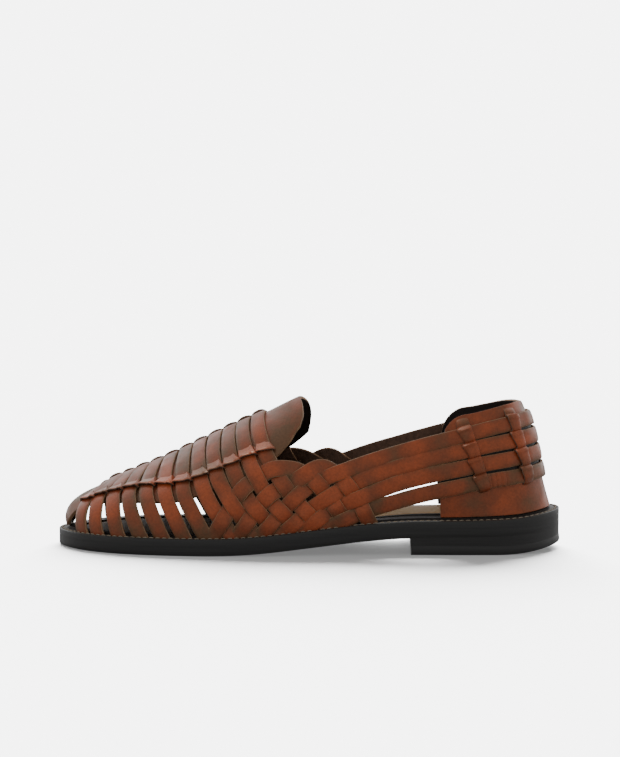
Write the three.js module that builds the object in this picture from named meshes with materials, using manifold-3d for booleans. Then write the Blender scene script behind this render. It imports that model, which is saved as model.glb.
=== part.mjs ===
// Woven leather loafer for the left foot, on a low stacked heel.
// Millimetres, +Z up, toe towards -X, heel towards +X, outer (lateral) side towards -Y.
import * as THREE from 'three';
import { mergeVertices } from 'three/addons/utils/BufferGeometryUtils.js';
import Module from 'manifold-3d';

const wasm = await Module();
wasm.setup();

// Sizes shared by several pieces
const WELT_WIDTH = 6.5;          // from the sole edge in to the feather line, where the upper starts
const SEAT_GAP = 0.3;            // clearance between neighbouring pieces
const FEATHER_GAP = 0.45;        // from the welt's top to the lasting margin above it
const OUTSOLE_SHARE = 0.58;      // share of the sole edge that is outsole, the rest is welt
const WELT_BAND = 15;            // full width of the welt strip
const MARGIN_THICK = 0.9;        // lasting margin turned in over the welt
const MARGIN_OUT = 3.4;          // how far the lasting margin stands out past the feather line
const MARGIN_IN = 7.5;           // how far it reaches in
const INSOLE_CLEAR = 0.4;        // from the insole's edge to the welt strip
const BREAST_SHARE = 0.688;      // where the heel's flat front face crosses the sole edge
const LIFT_HEIGHT = 5.2;         // heel top piece, the layer that wears on the floor
const LIFT_FLARE = 0.5;          // it stands out a little past the stack above it
const HEEL_BEVEL = { start: 112, end: 150, rise: 4.6, shareAbove: 0.8 };
const STRAP = { width: 7.5, low: 2.1, high: 3.65 };
const HEEL_STRAP_WIDTH = 7.2;
const WEAVE_LIFT = 0.45;         // a strand rises or dips this far where it passes over or under another
const PLATE = { low: 0, high: 1.3 };
const BRIDGE = { width: 6.5, low: 0.5, high: 5.2, reach: 5, toeDrop: 1, tongueRise: 2 };
const STRAP_FREE = 0.52;         // room that the apron and counter leave around a strap
const CROSSING_REACH = 9;        // a strand is back at its plain height this far from a crossing
const CROSSING_FULL = 0.75;      // nearness at which it has its full rise or dip
const THROAT_TURN = 0.56;        // share of a throat strand's length at which it starts down again
const WOVEN_SHARE = 1 / 3;       // share of a vamp or heel strap's length that can lie in one side's weave

// How finely curves are followed
const THIN_TOLERANCE = 0.38;     // a strap's rings are spaced so that it keeps to its route this closely
const SOLE_STEPS = 22;
const LOOP_STEPS = 480;
const VAMP_STEPS = 60;
const THROAT_STEPS = 52;
const HEEL_STEPS = 128;
const BAND_STEPS = 48;
const APRON_GRID = { columns: 13, rows: 4 };
const COUNTER_GRID = { corner: 3, cornerShare: 0.02, columns: 9, rows: 3 };
const SURFACE_STEP = 0.002;      // step along or over the last when its direction is measured
const HALVINGS = 40;             // halvings that find a place on the last from its side view
const WELD = 1e-4;
const ROUTE_SCALE = { along: 325, up: 80 };  // about the feather line's and a section's length

// Edge of the sole seen from above, once round from the toe tip by the outer side
const SOLE_EDGE = [
  { x: -150, y: -5 }, { x: -144, y: -21.5 }, { x: -127, y: -36.5 }, { x: -98, y: -47.5 },
  { x: -58, y: -51.5 }, { x: -20, y: -49 }, { x: 20, y: -42.5 }, { x: 60, y: -37.5 },
  { x: 98, y: -35.5 }, { x: 128, y: -31 }, { x: 145, y: -16.5 }, { x: 150, y: 0.5 },
  { x: 145, y: 17.5 }, { x: 128, y: 31.5 }, { x: 98, y: 34.5 }, { x: 60, y: 31.5 },
  { x: 22, y: 33.5 }, { x: -18, y: 43.5 }, { x: -60, y: 51.5 }, { x: -98, y: 48 },
  { x: -128, y: 33.5 }, { x: -145, y: 12.5 },
];

// Side view of the sole: height of its underside, and thickness of outsole and welt together
const SOLE_PROFILE = [
  { x: -150, under: 1.0, thick: 9.4 }, { x: -128, under: 0.2, thick: 9.9 },
  { x: -110, under: 0, thick: 10 }, { x: -60, under: 0, thick: 10 }, { x: -30, under: 1.0, thick: 10 },
  { x: 5, under: 4.6, thick: 10 }, { x: 35, under: 7.9, thick: 10 }, { x: 60, under: 9.6, thick: 10 },
  { x: 100, under: 10.2, thick: 10 }, { x: 125, under: 11.2, thick: 10.2 },
  { x: 150, under: 14.4, thick: 10.2 },
];

// How far the insole's top stands above the welt
const INSOLE_RISE = [
  { x: -150, rise: 0.6 }, { x: -20, rise: 0.6 }, { x: 40, rise: 1.9 }, { x: 75, rise: 2.5 },
  { x: 150, rise: 2.5 },
];

// Sections of the last. along: share of the feather line from toe tip to heel back.
// Each section rises from there to its crown, bending through turn degrees and swelling by bulge,
// or drawn in where bulge is negative.
const SECTIONS = [
  { along: 0, crownX: -116, half: 0, crownZ: 37, turn: 52, bulge: 1.5 },
  { along: 0.07, crownX: -112, half: 0, crownZ: 38.7, turn: 58, bulge: 1.5 },
  { along: 0.16, crownX: -101, half: 0, crownZ: 43.2, turn: 66, bulge: 2 },
  { along: 0.24, crownX: -83, half: 0, crownZ: 50.7, turn: 72, bulge: 2 },
  { along: 0.33, crownX: -56, half: 0, crownZ: 63.7, turn: 76, bulge: 2 },
  { along: 0.42, crownX: -27, half: 0, crownZ: 77.3, turn: 78, bulge: 1.5 },
  { along: 0.51, crownX: 2, half: 3, crownZ: 91, turn: 70, bulge: 1.5 },
  { along: 0.585, crownX: 28, half: 15, crownZ: 96, turn: 45, bulge: 1.5 },
  { along: 0.675, crownX: 60, half: 20.5, crownZ: 97, turn: 32, bulge: 2 },
  { along: 0.775, crownX: 91, half: 22.5, crownZ: 96, turn: 26, bulge: 2 },
  { along: 0.885, crownX: 112, half: 15.5, crownZ: 95, turn: 24, bulge: -3 },
  { along: 1, crownX: 121.5, half: 0, crownZ: 94, turn: 22, bulge: -7 },
];

// Ridge of the last seen from above
const SPINE = [
  { x: -150, y: 3 }, { x: -100, y: 4 }, { x: -50, y: 3 }, { x: 0, y: 1 }, { x: 60, y: 0 },
  { x: 150, y: 0.5 },
];

// Straps over the vamp: sole end, a point on the side wall, and the bridges at the apron's two edges.
// The inner bridge lies near the ridge. There the straps' lower parts lie further back by innerBack.
const VAMP_STRAPS = [
  {
    sole: -130.6, wallX: -131.4, wallZ: 22, bridgeX: -129, bridgeZ: 27,
    innerBack: 3, ridgeX: -123, ridgeZ: 31,
  },
  {
    sole: -119.7, wallX: -121.4, wallZ: 23.5, bridgeX: -121, bridgeZ: 30,
    innerBack: 5, ridgeX: -116.5, ridgeZ: 35.5,
  },
  {
    sole: -107.8, wallX: -111.9, wallZ: 25.4, bridgeX: -112.5, bridgeZ: 32.5,
    innerBack: 6, ridgeX: -109, ridgeZ: 38.4,
  },
  {
    sole: -94.7, wallX: -102, wallZ: 27, bridgeX: -103, bridgeZ: 35,
    innerBack: 5.7, ridgeX: -100, ridgeZ: 42.2,
  },
  {
    sole: -82, wallX: -91, wallZ: 28.4, bridgeX: -93, bridgeZ: 37,
    innerBack: 5.5, ridgeX: -91, ridgeZ: 45.8,
  },
  {
    sole: -69.2, wallX: -79.5, wallZ: 30, bridgeX: -82, bridgeZ: 38.5,
    innerBack: 5, ridgeX: -82, ridgeZ: 49.8,
  },
  {
    sole: -56.4, wallX: -68, wallZ: 30.6, bridgeX: -71, bridgeZ: 40.5,
    innerBack: 3.6, ridgeX: -72.6, ridgeZ: 54.2,
  },
  {
    sole: -41.2, wallX: -54.5, wallZ: 30.5, bridgeX: -60.7, bridgeZ: 44,
    innerBack: 0, ridgeX: -64, ridgeZ: 58.4,
  },
  {
    sole: -28.5, wallX: -43.5, wallZ: 32.5, bridgeX: -52, bridgeZ: 48,
    innerBack: 0, ridgeX: -54.6, ridgeZ: 62.9,
  },
  {
    sole: -15, wallX: -32.5, wallZ: 32.5, bridgeX: -42.5, bridgeZ: 51.5,
    innerBack: 0, ridgeX: -45.8, ridgeZ: 67.2,
  },
  {
    sole: -2.5, wallX: -20.5, wallZ: 33.5, bridgeX: -33.5, bridgeZ: 56,
    innerBack: 0, ridgeX: -37.4, ridgeZ: 71.2,
  },
  {
    sole: 10.5, wallX: -8.5, wallZ: 36, bridgeX: -23.5, bridgeZ: 59.5,
    innerBack: 0, ridgeX: -28.6, ridgeZ: 75.2,
  },
];

// Strands that rise from the sole, turn at the throat and go down again
const THROAT_STRANDS = [
  {
    start: -52.4, end: 25.5,
    via: [
      { x: -35.7, z: 36.2 }, { x: -23, z: 46.2 }, { x: -9, z: 49 }, { x: 4, z: 44.3 }, { x: 13.5, z: 34.4 },
    ],
  },
  {
    start: -38.5, end: 38,
    via: [
      { x: -20.5, z: 33.7 }, { x: -3.1, z: 43.3 }, { x: 11, z: 50 }, { x: 20.5, z: 45 }, { x: 31.2, z: 32 },
    ],
  },
];

// Strands that rise from the sole, run back along the quarter and go round the heel.
// On the inner side their way lies higher by innerRise.
const HEEL_STRANDS = [
  {
    start: -24.5, innerRise: 0.4, backZ: 77,
    via: [{ x: -4, z: 34 }, { x: 16, z: 45.6 }, { x: 55.6, z: 59.1 }, { x: 107.7, z: 73 }],
  },
  {
    start: -11.5, innerRise: 1.4, backZ: 67.3,
    via: [{ x: 14.3, z: 33.5 }, { x: 33.5, z: 43.2 }, { x: 56, z: 51 }, { x: 107.7, z: 63.4 }],
  },
  {
    start: 0, innerRise: 2.4, backZ: 57.4,
    via: [{ x: 18.3, z: 27 }, { x: 40.4, z: 36.2 }, { x: 55.5, z: 41.8 }, { x: 108, z: 53.2 }],
  },
  {
    start: 14, innerRise: 3.3, backZ: 47.2,
    via: [{ x: 35.7, z: 25.4 }, { x: 56.2, z: 31.8 }, { x: 80, z: 37.6 }, { x: 107.6, z: 42.8 }],
  },
];
const FIRST_WOVEN_STRAP = 7;     // from this vamp strap on, the straps pass through the side weave

// Lower edge of the apron, and the free edge of the tongue that ends it
const APRON_STRIP = 0.02;        // half width of the strip down the toe tip, as a share of the feather line
const APRON_EDGE = [
  { x: -134.5, z: 23 }, { x: -128, z: 26 }, { x: -105, z: 28.4 }, { x: -75, z: 30 }, { x: -62, z: 33.5 },
  { x: -45, z: 41.5 }, { x: -30, z: 50 }, { x: -17.5, z: 58 }, { x: -9, z: 66.5 }, { x: -4.5, z: 73 },
];
const TONGUE_END = { x: -1.5, z: 79 };
const TONGUE_ROUND = { from: 0.72, back: 0.009, run: 0.06 };  // its tip draws back towards the crown

// Heel counter: front edge, and top edge from the front corner round to the back
const COUNTER_FRONT = 81.5;
const COUNTER_TOP = [
  { x: 81.5, top: 69 }, { x: 83, top: 73.5 }, { x: 86, top: 77.8 }, { x: 90.5, top: 80.6 },
  { x: 97, top: 81.8 }, { x: 106, top: 83.7 }, { x: 117, top: 86 }, { x: 125, top: 87 },
];
// Two upright bands on each side of the counter, from the top down
const COUNTER_BANDS = [
  { side: 92, sideZ: 76.5, back: 118.6, backZ: 82.5 },
  { side: 95.4, sideZ: 66, back: 121, backZ: 71.5 },
  { side: 99, sideZ: 55.5, back: 124, backZ: 61.5 },
  { side: 102.4, sideZ: 45, back: 126.8, backZ: 51.5 },
  { side: 105, sideZ: 36.5, back: 129, backZ: 41 },
];

const LEATHER = { color: 0x8c4526, roughness: 0.48, metalness: 0 };
const SOLE_BLACK = { color: 0x1d1b1a, roughness: 0.5, metalness: 0 };
const WELT_BROWN = { color: 0x4a4037, roughness: 0.6, metalness: 0 };
const INSOLE_TAN = { color: 0xb59a78, roughness: 0.65, metalness: 0 };

// Smooth curve through one column of a table
function columnOf(rows, key, name) {
  const knots = rows.map((row) => row[key]);
  const values = rows.map((row) => row[name]);
  const last = rows.length - 1;
  const slopes = values.map((value, i) => {
    const before = Math.max(i - 1, 0);
    const after = Math.min(i + 1, last);
    return (values[after] - values[before]) / (knots[after] - knots[before]);
  });
  return (at) => {
    const x = Math.min(Math.max(at, knots[0]), knots[last]);
    let i = 0;
    while (i < last - 1 && x > knots[i + 1]) i += 1;
    const span = knots[i + 1] - knots[i];
    const t = (x - knots[i]) / span;
    const rest = 1 - t;
    return values[i] * (1 + 2 * t) * rest * rest + values[i + 1] * (3 - 2 * t) * t * t
      + span * t * rest * (slopes[i] * rest - slopes[i + 1] * t);
  };
}

const underCurve = columnOf(SOLE_PROFILE, 'x', 'under');
const soleUnder = (x) => Math.max(underCurve(x), 0);
const soleThick = columnOf(SOLE_PROFILE, 'x', 'thick');
const weltTop = (x) => soleUnder(x) + soleThick(x);
const featherZ = (x) => weltTop(x) + FEATHER_GAP;
const spineY = columnOf(SPINE, 'x', 'y');
const section = Object.fromEntries(
  ['crownX', 'half', 'crownZ', 'turn', 'bulge'].map((name) => [name, columnOf(SECTIONS, 'along', name)]),
);

// Sole edge as two halves, toe tip to heel back, moved in by a distance along its normal
const edgeCurve = new THREE.CatmullRomCurve3(
  SOLE_EDGE.map(({ x, y }) => new THREE.Vector3(x, y, 0)), true, 'catmullrom', 0.5,
);
const edgeLoop = edgeCurve.getSpacedPoints(LOOP_STEPS).slice(0, LOOP_STEPS);

function halvesOf(inset) {
  const moved = edgeLoop.map((point, i) => {
    const before = edgeLoop[(i + LOOP_STEPS - 1) % LOOP_STEPS];
    const after = edgeLoop[(i + 1) % LOOP_STEPS];
    const along = after.clone().sub(before).normalize();
    return new THREE.Vector3(point.x - along.y * inset, point.y + along.x * inset, 0);
  });
  const xs = moved.map((point) => point.x);
  const toe = xs.indexOf(Math.min(...xs));
  const heel = xs.indexOf(Math.max(...xs));
  const run = (step) => {
    const points = [];
    for (let i = toe; ; i = (i + step + LOOP_STEPS) % LOOP_STEPS) {
      points.push(moved[i]);
      if (i === heel) break;
    }
    const travelled = [0];
    for (let i = 1; i < points.length; i += 1) {
      travelled.push(travelled[i - 1] + points[i].distanceTo(points[i - 1]));
    }
    return (share) => {
      const want = Math.min(Math.max(share, 0), 1) * travelled[travelled.length - 1];
      let i = 1;
      while (i < travelled.length - 1 && travelled[i] < want) i += 1;
      const t = (want - travelled[i - 1]) / (travelled[i] - travelled[i - 1]);
      return points[i - 1].clone().lerp(points[i], t);
    };
  };
  return { lateral: run(1), medial: run(-1) };
}

const soleEdge = halvesOf(0);
const feather = halvesOf(WELT_WIDTH);

// Point of the last's surface. s runs from toe tip 0 to heel back 1,
// v from 0 at the outer feather line over the crown at 1 to 2 at the inner feather line.
function lastPoint(s, v) {
  if (s < 0) return lastPoint(-s, 2 - v);
  if (s > 1) return lastPoint(2 - s, 2 - v);
  const medial = v > 1;
  const rise = medial ? 2 - v : v;
  const base = (medial ? feather.medial : feather.lateral)(s);
  const baseZ = featherZ(base.x);
  const crownX = section.crownX(s);
  const crownY = spineY(crownX) + (medial ? 1 : -1) * Math.max(section.half(s), 0);
  const turn = THREE.MathUtils.degToRad(section.turn(s));
  const angle = rise * turn;
  const inward = (1 - Math.cos(angle)) / (1 - Math.cos(turn));
  const upward = Math.sin(angle) / Math.sin(turn);
  const reach = new THREE.Vector2(crownX - base.x, crownY - base.y);
  const swell = section.bulge(s) * Math.sin(Math.PI * rise) * (1 - rise) / reach.length();
  return new THREE.Vector3(
    base.x + reach.x * (inward - swell),
    base.y + reach.y * (inward - swell),
    baseZ + (section.crownZ(s) - baseZ) * upward,
  );
}

function lastNormal(s, v) {
  const along = lastPoint(s + SURFACE_STEP, v).sub(lastPoint(s - SURFACE_STEP, v));
  const over = lastPoint(s, v + SURFACE_STEP).sub(lastPoint(s, v - SURFACE_STEP));
  return along.cross(over).normalize();
}

// How far up its section a height lies, from 0 at the feather line to 1 at the crown
function riseAt(s, medial, z) {
  const base = (medial ? feather.medial : feather.lateral)(s);
  const baseZ = featherZ(base.x);
  const turn = THREE.MathUtils.degToRad(section.turn(s));
  const upward = THREE.MathUtils.clamp((z - baseZ) / (section.crownZ(s) - baseZ), 0, 1);
  return Math.asin(upward * Math.sin(turn)) / turn;
}

// Place on one side wall, found from its side view
function wallPlace(x, z, medial) {
  let low = 0;
  let high = 1;
  let s = 0.5;
  for (let i = 0; i < HALVINGS; i += 1) {
    s = (low + high) / 2;
    const rise = riseAt(s, medial, z);
    if (lastPoint(s, medial ? 2 - rise : rise).x < x) low = s;
    else high = s;
  }
  return { s, rise: riseAt(s, medial, z) };
}

// Solids
function asSolid(points, triangles) {
  const geometry = new THREE.BufferGeometry().setFromPoints(points);
  geometry.setIndex(triangles.flat());
  const merged = mergeVertices(geometry, WELD);
  const index = merged.getIndex().array;
  const position = merged.getAttribute('position');
  const corners = [];
  let volume = 0;
  const [a, b, c] = [new THREE.Vector3(), new THREE.Vector3(), new THREE.Vector3()];
  for (let i = 0; i < index.length; i += 3) {
    const [p, q, r] = [index[i], index[i + 1], index[i + 2]];
    if (p === q || q === r || r === p) continue;
    corners.push(p, q, r);
    volume += a.fromBufferAttribute(position, p).dot(
      b.fromBufferAttribute(position, q).cross(c.fromBufferAttribute(position, r)),
    );
  }
  if (volume < 0) corners.reverse();
  return new wasm.Manifold(new wasm.Mesh({
    numProp: 3,
    vertProperties: new Float32Array(position.array),
    triVerts: new Uint32Array(corners),
  }));
}

function union(solids) {
  return solids.reduce((whole, next) => whole.add(next));
}

// The largest body of a solid, without the small voids shut in where strips cross or meet
function outerShell(solid) {
  return solid.decompose().reduce((largest, body) => (body.volume() > largest.volume() ? body : largest));
}

// Solid through a row of four-cornered rings, closed on itself or with flat ends
function loft(rings, closed = false) {
  const points = rings.flat();
  const triangles = [];
  const sides = rings[0].length;
  const pairs = closed ? rings.length : rings.length - 1;
  for (let i = 0; i < pairs; i += 1) {
    const here = i * sides;
    const next = ((i + 1) % rings.length) * sides;
    for (let k = 0; k < sides; k += 1) {
      const l = (k + 1) % sides;
      triangles.push([here + k, here + l, next + l], [here + k, next + l, next + k]);
    }
  }
  if (!closed) {
    const end = (rings.length - 1) * sides;
    for (let k = 1; k < sides - 1; k += 1) {
      triangles.push([0, k + 1, k], [end, end + k, end + k + 1]);
    }
  }
  return asSolid(points, triangles);
}

// Stations along the sole, closer together round the toe and the heel
function stations(first) {
  const whole = Array.from({ length: SOLE_STEPS + 1 }, (_, i) => {
    const even = i / SOLE_STEPS;
    return (even + (1 - Math.cos(Math.PI * even)) / 2) / 2;
  });
  const shortest = 1 / (2 * SOLE_STEPS);
  return [first, ...whole.filter((share) => share > first + shortest || (first === 0 && share > 0))];
}

// Layer of the sole between two heights, over a stretch of its length
function layer(inset, first, under, over) {
  const half = inset === 0 ? soleEdge : halvesOf(inset);
  const rings = stations(first).map((share) => {
    const outer = half.lateral(share);
    const inner = half.medial(share);
    return [
      outer.clone().setZ(under(outer.x)), inner.clone().setZ(under(inner.x)),
      inner.clone().setZ(over(inner.x)), outer.clone().setZ(over(outer.x)),
    ];
  });
  return loft(rings);
}

// Flat band that follows the sole edge all the way round
function band(outerInset, innerInset, under, over) {
  const outer = halvesOf(outerInset);
  const inner = halvesOf(innerInset);
  const ring = (side) => (share) => {
    const out = outer[side](share);
    const back = inner[side](share);
    return [
      out.clone().setZ(under(out.x)), out.clone().setZ(over(out.x)),
      back.clone().setZ(over(back.x)), back.clone().setZ(under(back.x)),
    ];
  };
  const there = stations(0);
  const back = there.slice(1, -1).reverse();
  return loft([...there.map(ring('lateral')), ...back.map(ring('medial'))], true);
}

// Routes of the straps: places on the last, with the strap's extra height there.
// At its two ends a strap is cut along the seam at the sole.
function routeThrough(places, steps) {
  const knots = places.map(({ s, v }) => new THREE.Vector3(s * ROUTE_SCALE.along, v * ROUTE_SCALE.up, 0));
  const curve = new THREE.CatmullRomCurve3(knots, false, 'centripetal');
  return curve.getSpacedPoints(steps).map((p, i) => {
    const s = p.x / ROUTE_SCALE.along;
    const v = p.y / ROUTE_SCALE.up;
    const place = { point: lastPoint(s, v), normal: lastNormal(s, v), lift: 0 };
    if (i === 0 || i === steps) {
      place.seam = lastPoint(s + SURFACE_STEP, v).sub(lastPoint(s - SURFACE_STEP, v)).normalize();
    }
    return place;
  });
}

function placeOn(x, z, medial) {
  const { s, rise } = wallPlace(x, z, medial);
  return { s, v: medial ? 2 - rise : rise };
}

function soleEnd(x, medial) {
  return placeOn(x, featherZ(x) + MARGIN_THICK / 2, medial);
}

// Where a vamp strap passes under one of the apron's bands, or a place a step further along the band
function bridgePlace(strap, medial, alongX = 0, alongZ = 0) {
  const [x, z] = medial ? [strap.ridgeX, strap.ridgeZ] : [strap.bridgeX, strap.bridgeZ];
  return placeOn(x + alongX, z + alongZ, medial);
}

// A place on the inner side, written on from the outer side round the heel
function roundHeel({ s, v }) {
  return { s: 2 - s, v: 2 - v };
}

const vampRoutes = VAMP_STRAPS.map((strap) => {
  const side = (medial) => [
    soleEnd(strap.sole + (medial ? strap.innerBack : 0), medial),
    placeOn(strap.wallX + (medial ? strap.innerBack : 0), strap.wallZ, medial),
    bridgePlace(strap, medial),
  ];
  return routeThrough([...side(false), ...side(true).reverse()], VAMP_STEPS);
});

const throatRoutes = [false, true].map((medial) => THROAT_STRANDS.map((strand) => routeThrough([
  soleEnd(strand.start, medial),
  ...strand.via.map(({ x, z }) => placeOn(x, z, medial)),
  soleEnd(strand.end, medial),
], THROAT_STEPS)));

const heelRoutes = HEEL_STRANDS.map((strand) => {
  const side = (medial) => [
    soleEnd(strand.start, medial),
    ...strand.via.map(({ x, z }) => placeOn(x, z + (medial ? strand.innerRise : 0), medial)),
  ];
  const back = { s: 1, v: riseAt(1, false, strand.backZ) };
  return routeThrough([...side(false), back, ...side(true).map(roundHeel).reverse()], HEEL_STEPS);
});

function isUnderSeam(point) {
  return point.z < featherZ(point.x) + MARGIN_THICK;
}

// Ribbon along part of a route, between two heights above the last
function ribbon(route, width, low, high) {
  const rings = [];
  for (let i = 0; i < route.length; i += 1) {
    const { point, normal, lift, seam } = route[i];
    const ahead = route[Math.min(i + 1, route.length - 1)].point;
    const behind = route[Math.max(i - 1, 0)].point;
    const forward = ahead.clone().sub(behind).normalize();
    const across = normal.clone().cross(forward).setLength(width / 2);
    if (seam) {
      const stretch = width * width / 4 / seam.dot(across);
      across.copy(seam).multiplyScalar(stretch);
    } else if (isUnderSeam(point.clone().add(across)) || isUnderSeam(point.clone().sub(across))) {
      continue;
    }
    const floor = point.clone().addScaledVector(normal, low + lift);
    const top = point.clone().addScaledVector(normal, high + lift);
    rings.push([
      floor.clone().sub(across), floor.clone().add(across), top.clone().add(across), top.clone().sub(across),
    ]);
  }
  return loft(rings);
}

// Over and under: each strand of the rising set crosses those of the falling set in turn
function nearestPair(one, other) {
  let best = { gap: Infinity, i: 0, j: 0 };
  one.forEach((a, i) => other.forEach((b, j) => {
    const gap = a.point.distanceTo(b.point);
    if (gap < best.gap) best = { gap, i, j };
  }));
  return best;
}

function liftAt(route, crossings) {
  route.forEach((place) => {
    let total = 0;
    let weight = 0;
    crossings.forEach(({ at, sign }) => {
      const near = Math.max(0, 1 - place.point.distanceTo(at) / CROSSING_REACH);
      total += sign * near;
      weight = Math.max(weight, near);
    });
    const pull = THREE.MathUtils.smoothstep(weight, 0, CROSSING_FULL);
    place.lift = Math.sign(total) * pull * WEAVE_LIFT;
  });
}

function weaveSide(medial) {
  const strands = throatRoutes[medial ? 1 : 0];
  const turn = (route) => Math.floor(route.length * THROAT_TURN);
  const rising = [
    ...strands.map((route) => ({ route, part: route.slice(0, turn(route)) })),
    ...heelRoutes.map((route) => ({
      route,
      part: medial ? route.slice(-HEEL_STEPS * WOVEN_SHARE) : route.slice(0, HEEL_STEPS * WOVEN_SHARE),
    })),
  ];
  const falling = [
    ...vampRoutes.slice(FIRST_WOVEN_STRAP).map((route) => ({
      route,
      part: medial ? route.slice(-VAMP_STEPS * WOVEN_SHARE) : route.slice(0, VAMP_STEPS * WOVEN_SHARE),
    })),
    ...strands.map((route) => ({ route, part: route.slice(turn(route)) })),
  ];
  rising.forEach((up, i) => falling.forEach((down, j) => {
    if (up.route === down.route) return;
    const { gap, i: m, j: n } = nearestPair(up.part, down.part);
    if (gap > STRAP.width / 2) return;
    const sign = (i + j) % 2 === 0 ? 1 : -1;
    const at = up.part[m].point.clone().add(down.part[n].point).multiplyScalar(0.5);
    up.crossings = [...(up.crossings ?? []), { at, sign }];
    down.crossings = [...(down.crossings ?? []), { at, sign: -sign }];
  }));
  [...rising, ...falling].forEach(({ part, crossings }) => liftAt(part, crossings ?? []));
}

weaveSide(false);
weaveSide(true);

// Keeps only the places that a route needs, so that straight stretches have few rings
function thinned(route) {
  const raised = route.map(({ point, normal, lift }) => point.clone().addScaledVector(normal, lift));
  const kept = [0];
  const chord = new THREE.Line3();
  const foot = new THREE.Vector3();
  for (let i = 0; i < route.length - 1; i = kept[kept.length - 1]) {
    let j = i + 1;
    const fits = (end) => {
      chord.set(raised[i], raised[end]);
      return raised.slice(i + 1, end).every(
        (place) => chord.closestPointToPoint(place, true, foot).distanceTo(place) < THIN_TOLERANCE,
      );
    };
    while (j < route.length - 1 && fits(j + 1)) j += 1;
    kept.push(j);
  }
  return kept.map((k) => route[k]);
}

function halfOf(route, medial) {
  const middle = Math.floor(route.length / 2);
  return medial ? route.slice(middle) : route.slice(0, middle + 1);
}

// Sheet of leather on the last between two lines, both sides of the shoe joined where they meet
function plate({ shares, rows, lower, upper, edgeAtTop, edgeAtFirst, edgeAtLast, drawBack = () => 0 }) {
  const points = [];
  const triangles = [];
  const columns = shares.length;
  const layerSize = columns * (rows + 1);
  [false, true].forEach((medial) => {
    const start = points.length;
    [PLATE.low, PLATE.high].forEach((height) => shares.forEach((s) => {
      const from = lower(s, medial);
      const to = upper(s, medial);
      for (let j = 0; j <= rows; j += 1) {
        const rise = from + (to - from) * j / rows;
        const v = medial ? 2 - rise : rise;
        const at = s - drawBack(s, rise);
        points.push(lastPoint(at, v).addScaledVector(lastNormal(at, v), height));
      }
    }));
    const face = (a, b, c, d) => {
      const quad = medial ? [a, d, c, b] : [a, b, c, d];
      triangles.push([quad[0], quad[1], quad[2]], [quad[0], quad[2], quad[3]]);
    };
    const at = (i, j, top) => start + (top ? layerSize : 0) + i * (rows + 1) + j;
    for (let i = 0; i < columns - 1; i += 1) {
      for (let j = 0; j < rows; j += 1) {
        face(at(i, j, true), at(i + 1, j, true), at(i + 1, j + 1, true), at(i, j + 1, true));
        face(at(i, j, false), at(i, j + 1, false), at(i + 1, j + 1, false), at(i + 1, j, false));
      }
      face(at(i, 0, false), at(i + 1, 0, false), at(i + 1, 0, true), at(i, 0, true));
      if (edgeAtTop) {
        face(at(i, rows, true), at(i + 1, rows, true), at(i + 1, rows, false), at(i, rows, false));
      }
    }
    for (let j = 0; j < rows; j += 1) {
      if (edgeAtFirst) face(at(0, j, true), at(0, j + 1, true), at(0, j + 1, false), at(0, j, false));
      const end = columns - 1;
      if (edgeAtLast) face(at(end, j, false), at(end, j + 1, false), at(end, j + 1, true), at(end, j, true));
    }
  });
  return asSolid(points, triangles);
}

const plateFloor = (s, medial) => {
  const base = (medial ? feather.medial : feather.lateral)(s);
  return riseAt(s, medial, featherZ(base.x) + MARGIN_THICK + SEAT_GAP);
};

function sharesBetween(first, last, steps) {
  return Array.from({ length: steps + 1 }, (_, i) => first + (last - first) * i / steps);
}

function withoutSeam({ point, normal, lift }) {
  return { point, normal, lift };
}

// Raised band of the apron or counter, with room for each strap that passes under it
function bridgeBand(places, routes, strapWidth) {
  const bandRoute = routeThrough(places, BAND_STEPS).map(withoutSeam);
  const raised = ribbon(thinned(bandRoute), BRIDGE.width, BRIDGE.low, BRIDGE.high);
  const rooms = routes.map((route) => {
    const centre = nearestPair(route, bandRoute).i;
    const end = (step) => {
      let i = centre;
      while (route[i + step] && route[i].point.distanceTo(route[centre].point) < BRIDGE.reach) i += step;
      return route[i];
    };
    const stretch = [end(-1), route[centre], end(1)].map(withoutSeam);
    return ribbon(stretch, strapWidth + 2 * STRAP_FREE, STRAP.low - STRAP_FREE, STRAP.high + STRAP_FREE);
  });
  return raised.subtract(union(rooms));
}

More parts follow.
